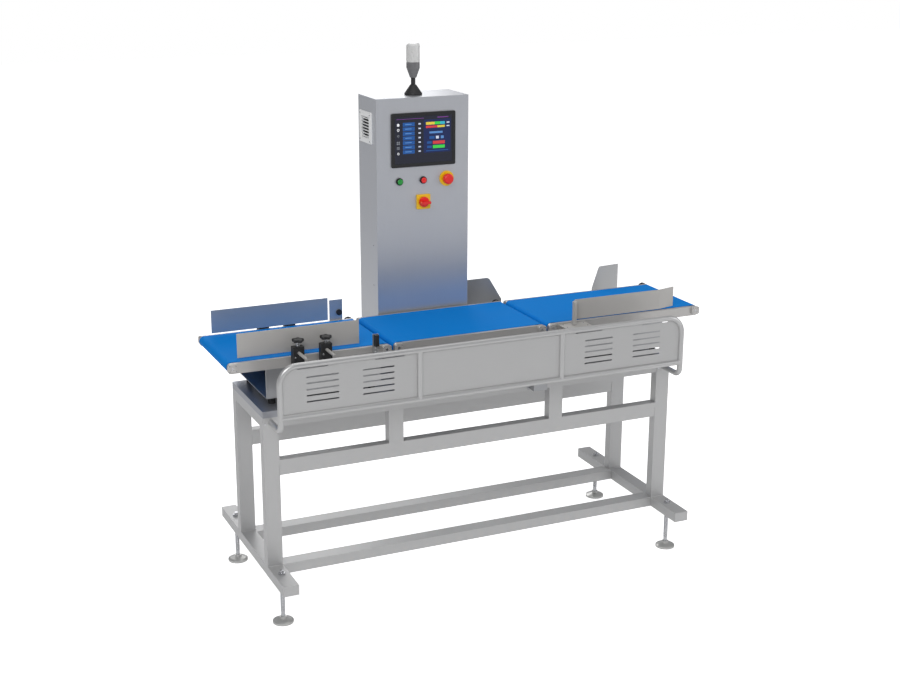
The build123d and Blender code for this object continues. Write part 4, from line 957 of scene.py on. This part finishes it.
frameWelds = {  # mm
    "spacing": 2.2,
    "radius": 1.7,
    "posts": ((-905.0, -845.0), (785.0, 845.0)),  # left and right faces
    "rows": ((-240.0, -200.0), (113.0, 153.0)),  # front and rear faces
    "footTop": 197.0,
    "innerFaces": (-845.0, 785.0),
    "beams": ((561.0, 601.0), (753.0, 793.0)),  # bottom and top
}


def weldSeams():
    welds = frameWelds
    seams = []
    for left, right in welds["posts"]:  # each post on its foot bar
        for row in welds["rows"]:
            seams += [((left, y, welds["footTop"]), (right, y, welds["footTop"])) for y in row]
    for x in welds["innerFaces"]:  # the ends of the long beams
        for front, rear in welds["rows"]:
            seams += [((x, front, bottom), (x, front, top)) for bottom, top in welds["beams"]]
    return seams


def makeFrameWelds():
    points, edges = [], []
    for start, end in weldSeams():
        edges.append((len(points), len(points) + 1))
        points += [mm(*start), mm(*end)]
    growPiece("frameWelds", pointMesh("frameWeldSeams", points, edges=edges), weldTree,
              {"Spacing": frameWelds["spacing"] / 1000, "Bead Radius": frameWelds["radius"] / 1000,
               "Metal": materials["frame_tube"]})
    return len(edges)


print("welds:", makeFrameWelds(), "seams")


# star knobs with a bright collar, in place of the plain turned ones
starKnob = {
    "nodes": ("front_knob_1", "front_knob_2", "rear_knob_1", "rear_knob_2"),
    "lobes": 5,
    # rings from the bottom up, in mm: (height, radius, depth of the lobes as a share)
    "head": ((1056.5, 16.16, 0.16), (1058.0, 19.594, 0.16), (1065.5, 20.2, 0.16), (1068.3, 18.786, 0.16),
             (1069.0, 16.16, 0.16), (1069.0, 10.1, 0), (1069.5, 8.484, 0)),
    "collar": ((1041.0, 8.6, 0), (1047.0, 8.6, 0), (1049.5, 6.708, 0), (1056.5, 6.708, 0)),
    "stud": ((1026.0, 2.73, 0), (1027.0, 3.9, 0), (1041.0, 3.9, 0)),
    "sides": {"head": 80, "collar": 32, "stud": 20},
}


def makeStarKnobs():
    for nodeName in starKnob["nodes"]:
        lowCorner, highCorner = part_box(nodeName)
        centre = ((lowCorner + highCorner) / 2)[:2]
        work = bmesh.new()
        for materialIndex, part in ((0, "head"), (1, "collar"), (1, "stud")):
            rings = [(height / 1000, radius / 1000, depth) for height, radius, depth in starKnob[part]]
            turnedInto(work, centre, rings, starKnob["sides"][part], starKnob["lobes"], materialIndex)
        bmesh.ops.recalc_face_normals(work, faces=work.faces)
        mesh = finishedMesh(nodeName + "Star", work, ("black_plastic", "machined_steel"))
        piece = addPiece(nodeName + "Star", mesh, nodeName)
        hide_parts(nodeName)
    return len(starKnob["nodes"])


print("star knobs:", makeStarKnobs())


# domed caps on the two push buttons
buttonCap = {  # mm
    "slots": {"start_button": "green_plastic", "stop_button": "red_plastic"},
    "radius": 11.6,
    "back": 222.3,
    "front": 218.6,
    "sides": 36,
    # shares of the cap's depth and radius, from the back
    "profile": ((0.0, 0.96), (0.15, 1.0), (0.5, 0.97), (0.8, 0.86), (1.0, 0.62), (1.04, 0.3)),
}


def makeButtonCaps():
    radius, back = buttonCap["radius"] / 1000, buttonCap["back"] / 1000
    depth = back - buttonCap["front"] / 1000
    rings = [(depth * deep, radius * wide, 0) for deep, wide in buttonCap["profile"]]
    layDown = Matrix.Rotation(math.radians(90), 4, "X")
    for nodeName, slotName in buttonCap["slots"].items():
        lowCorner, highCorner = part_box(nodeName)
        middle = (lowCorner + highCorner) / 2
        work = bmesh.new()
        turnedInto(work, (0.0, 0.0), rings, buttonCap["sides"])
        work.transform(Matrix.Translation((middle.x, back, middle.z)) @ layDown)
        bmesh.ops.recalc_face_normals(work, faces=work.faces)
        mesh = finishedMesh(nodeName + "Cap", work, (slotName,))
        for face in mesh.polygons:
            face.use_smooth = True
        addPiece(nodeName + "Cap", mesh, nodeName)


makeButtonCaps()
print("button caps made")


# terminal box on its plate, under the guard; all in mm
terminalBox = {
    "low": (187.0, -283.0, 757.0),
    "high": (259.0, -240.0, 795.0),
    "plateThick": 2.0,
    "plateSide": 6.0,  # how far the plate shows at each side
    "plateBelow": 5.0,
    "bevel": 2.5,
    "bevelSteps": 3,
}


def makeTerminalBox():
    (left, front, bottom), (right, rear, top) = terminalBox["low"], terminalBox["high"]
    side, plateFront = terminalBox["plateSide"], rear - terminalBox["plateThick"]
    work = bmesh.new()
    boxBottom = bottom + terminalBox["plateBelow"]
    boxInto(work, mm(left + side, front, boxBottom), mm(right - side, plateFront, top))
    boxInto(work, mm(left, plateFront, bottom), mm(right, rear, top))
    bmesh.ops.recalc_face_normals(work, faces=work.faces)
    box = addPiece("terminalBox", finishedMesh("terminalBox", work, ("stand_sheet",)))
    rounded = box.modifiers.new("rounded", "BEVEL")
    rounded.width = terminalBox["bevel"] / 1000
    rounded.segments = terminalBox["bevelSteps"]


makeTerminalBox()

print("pieces done")
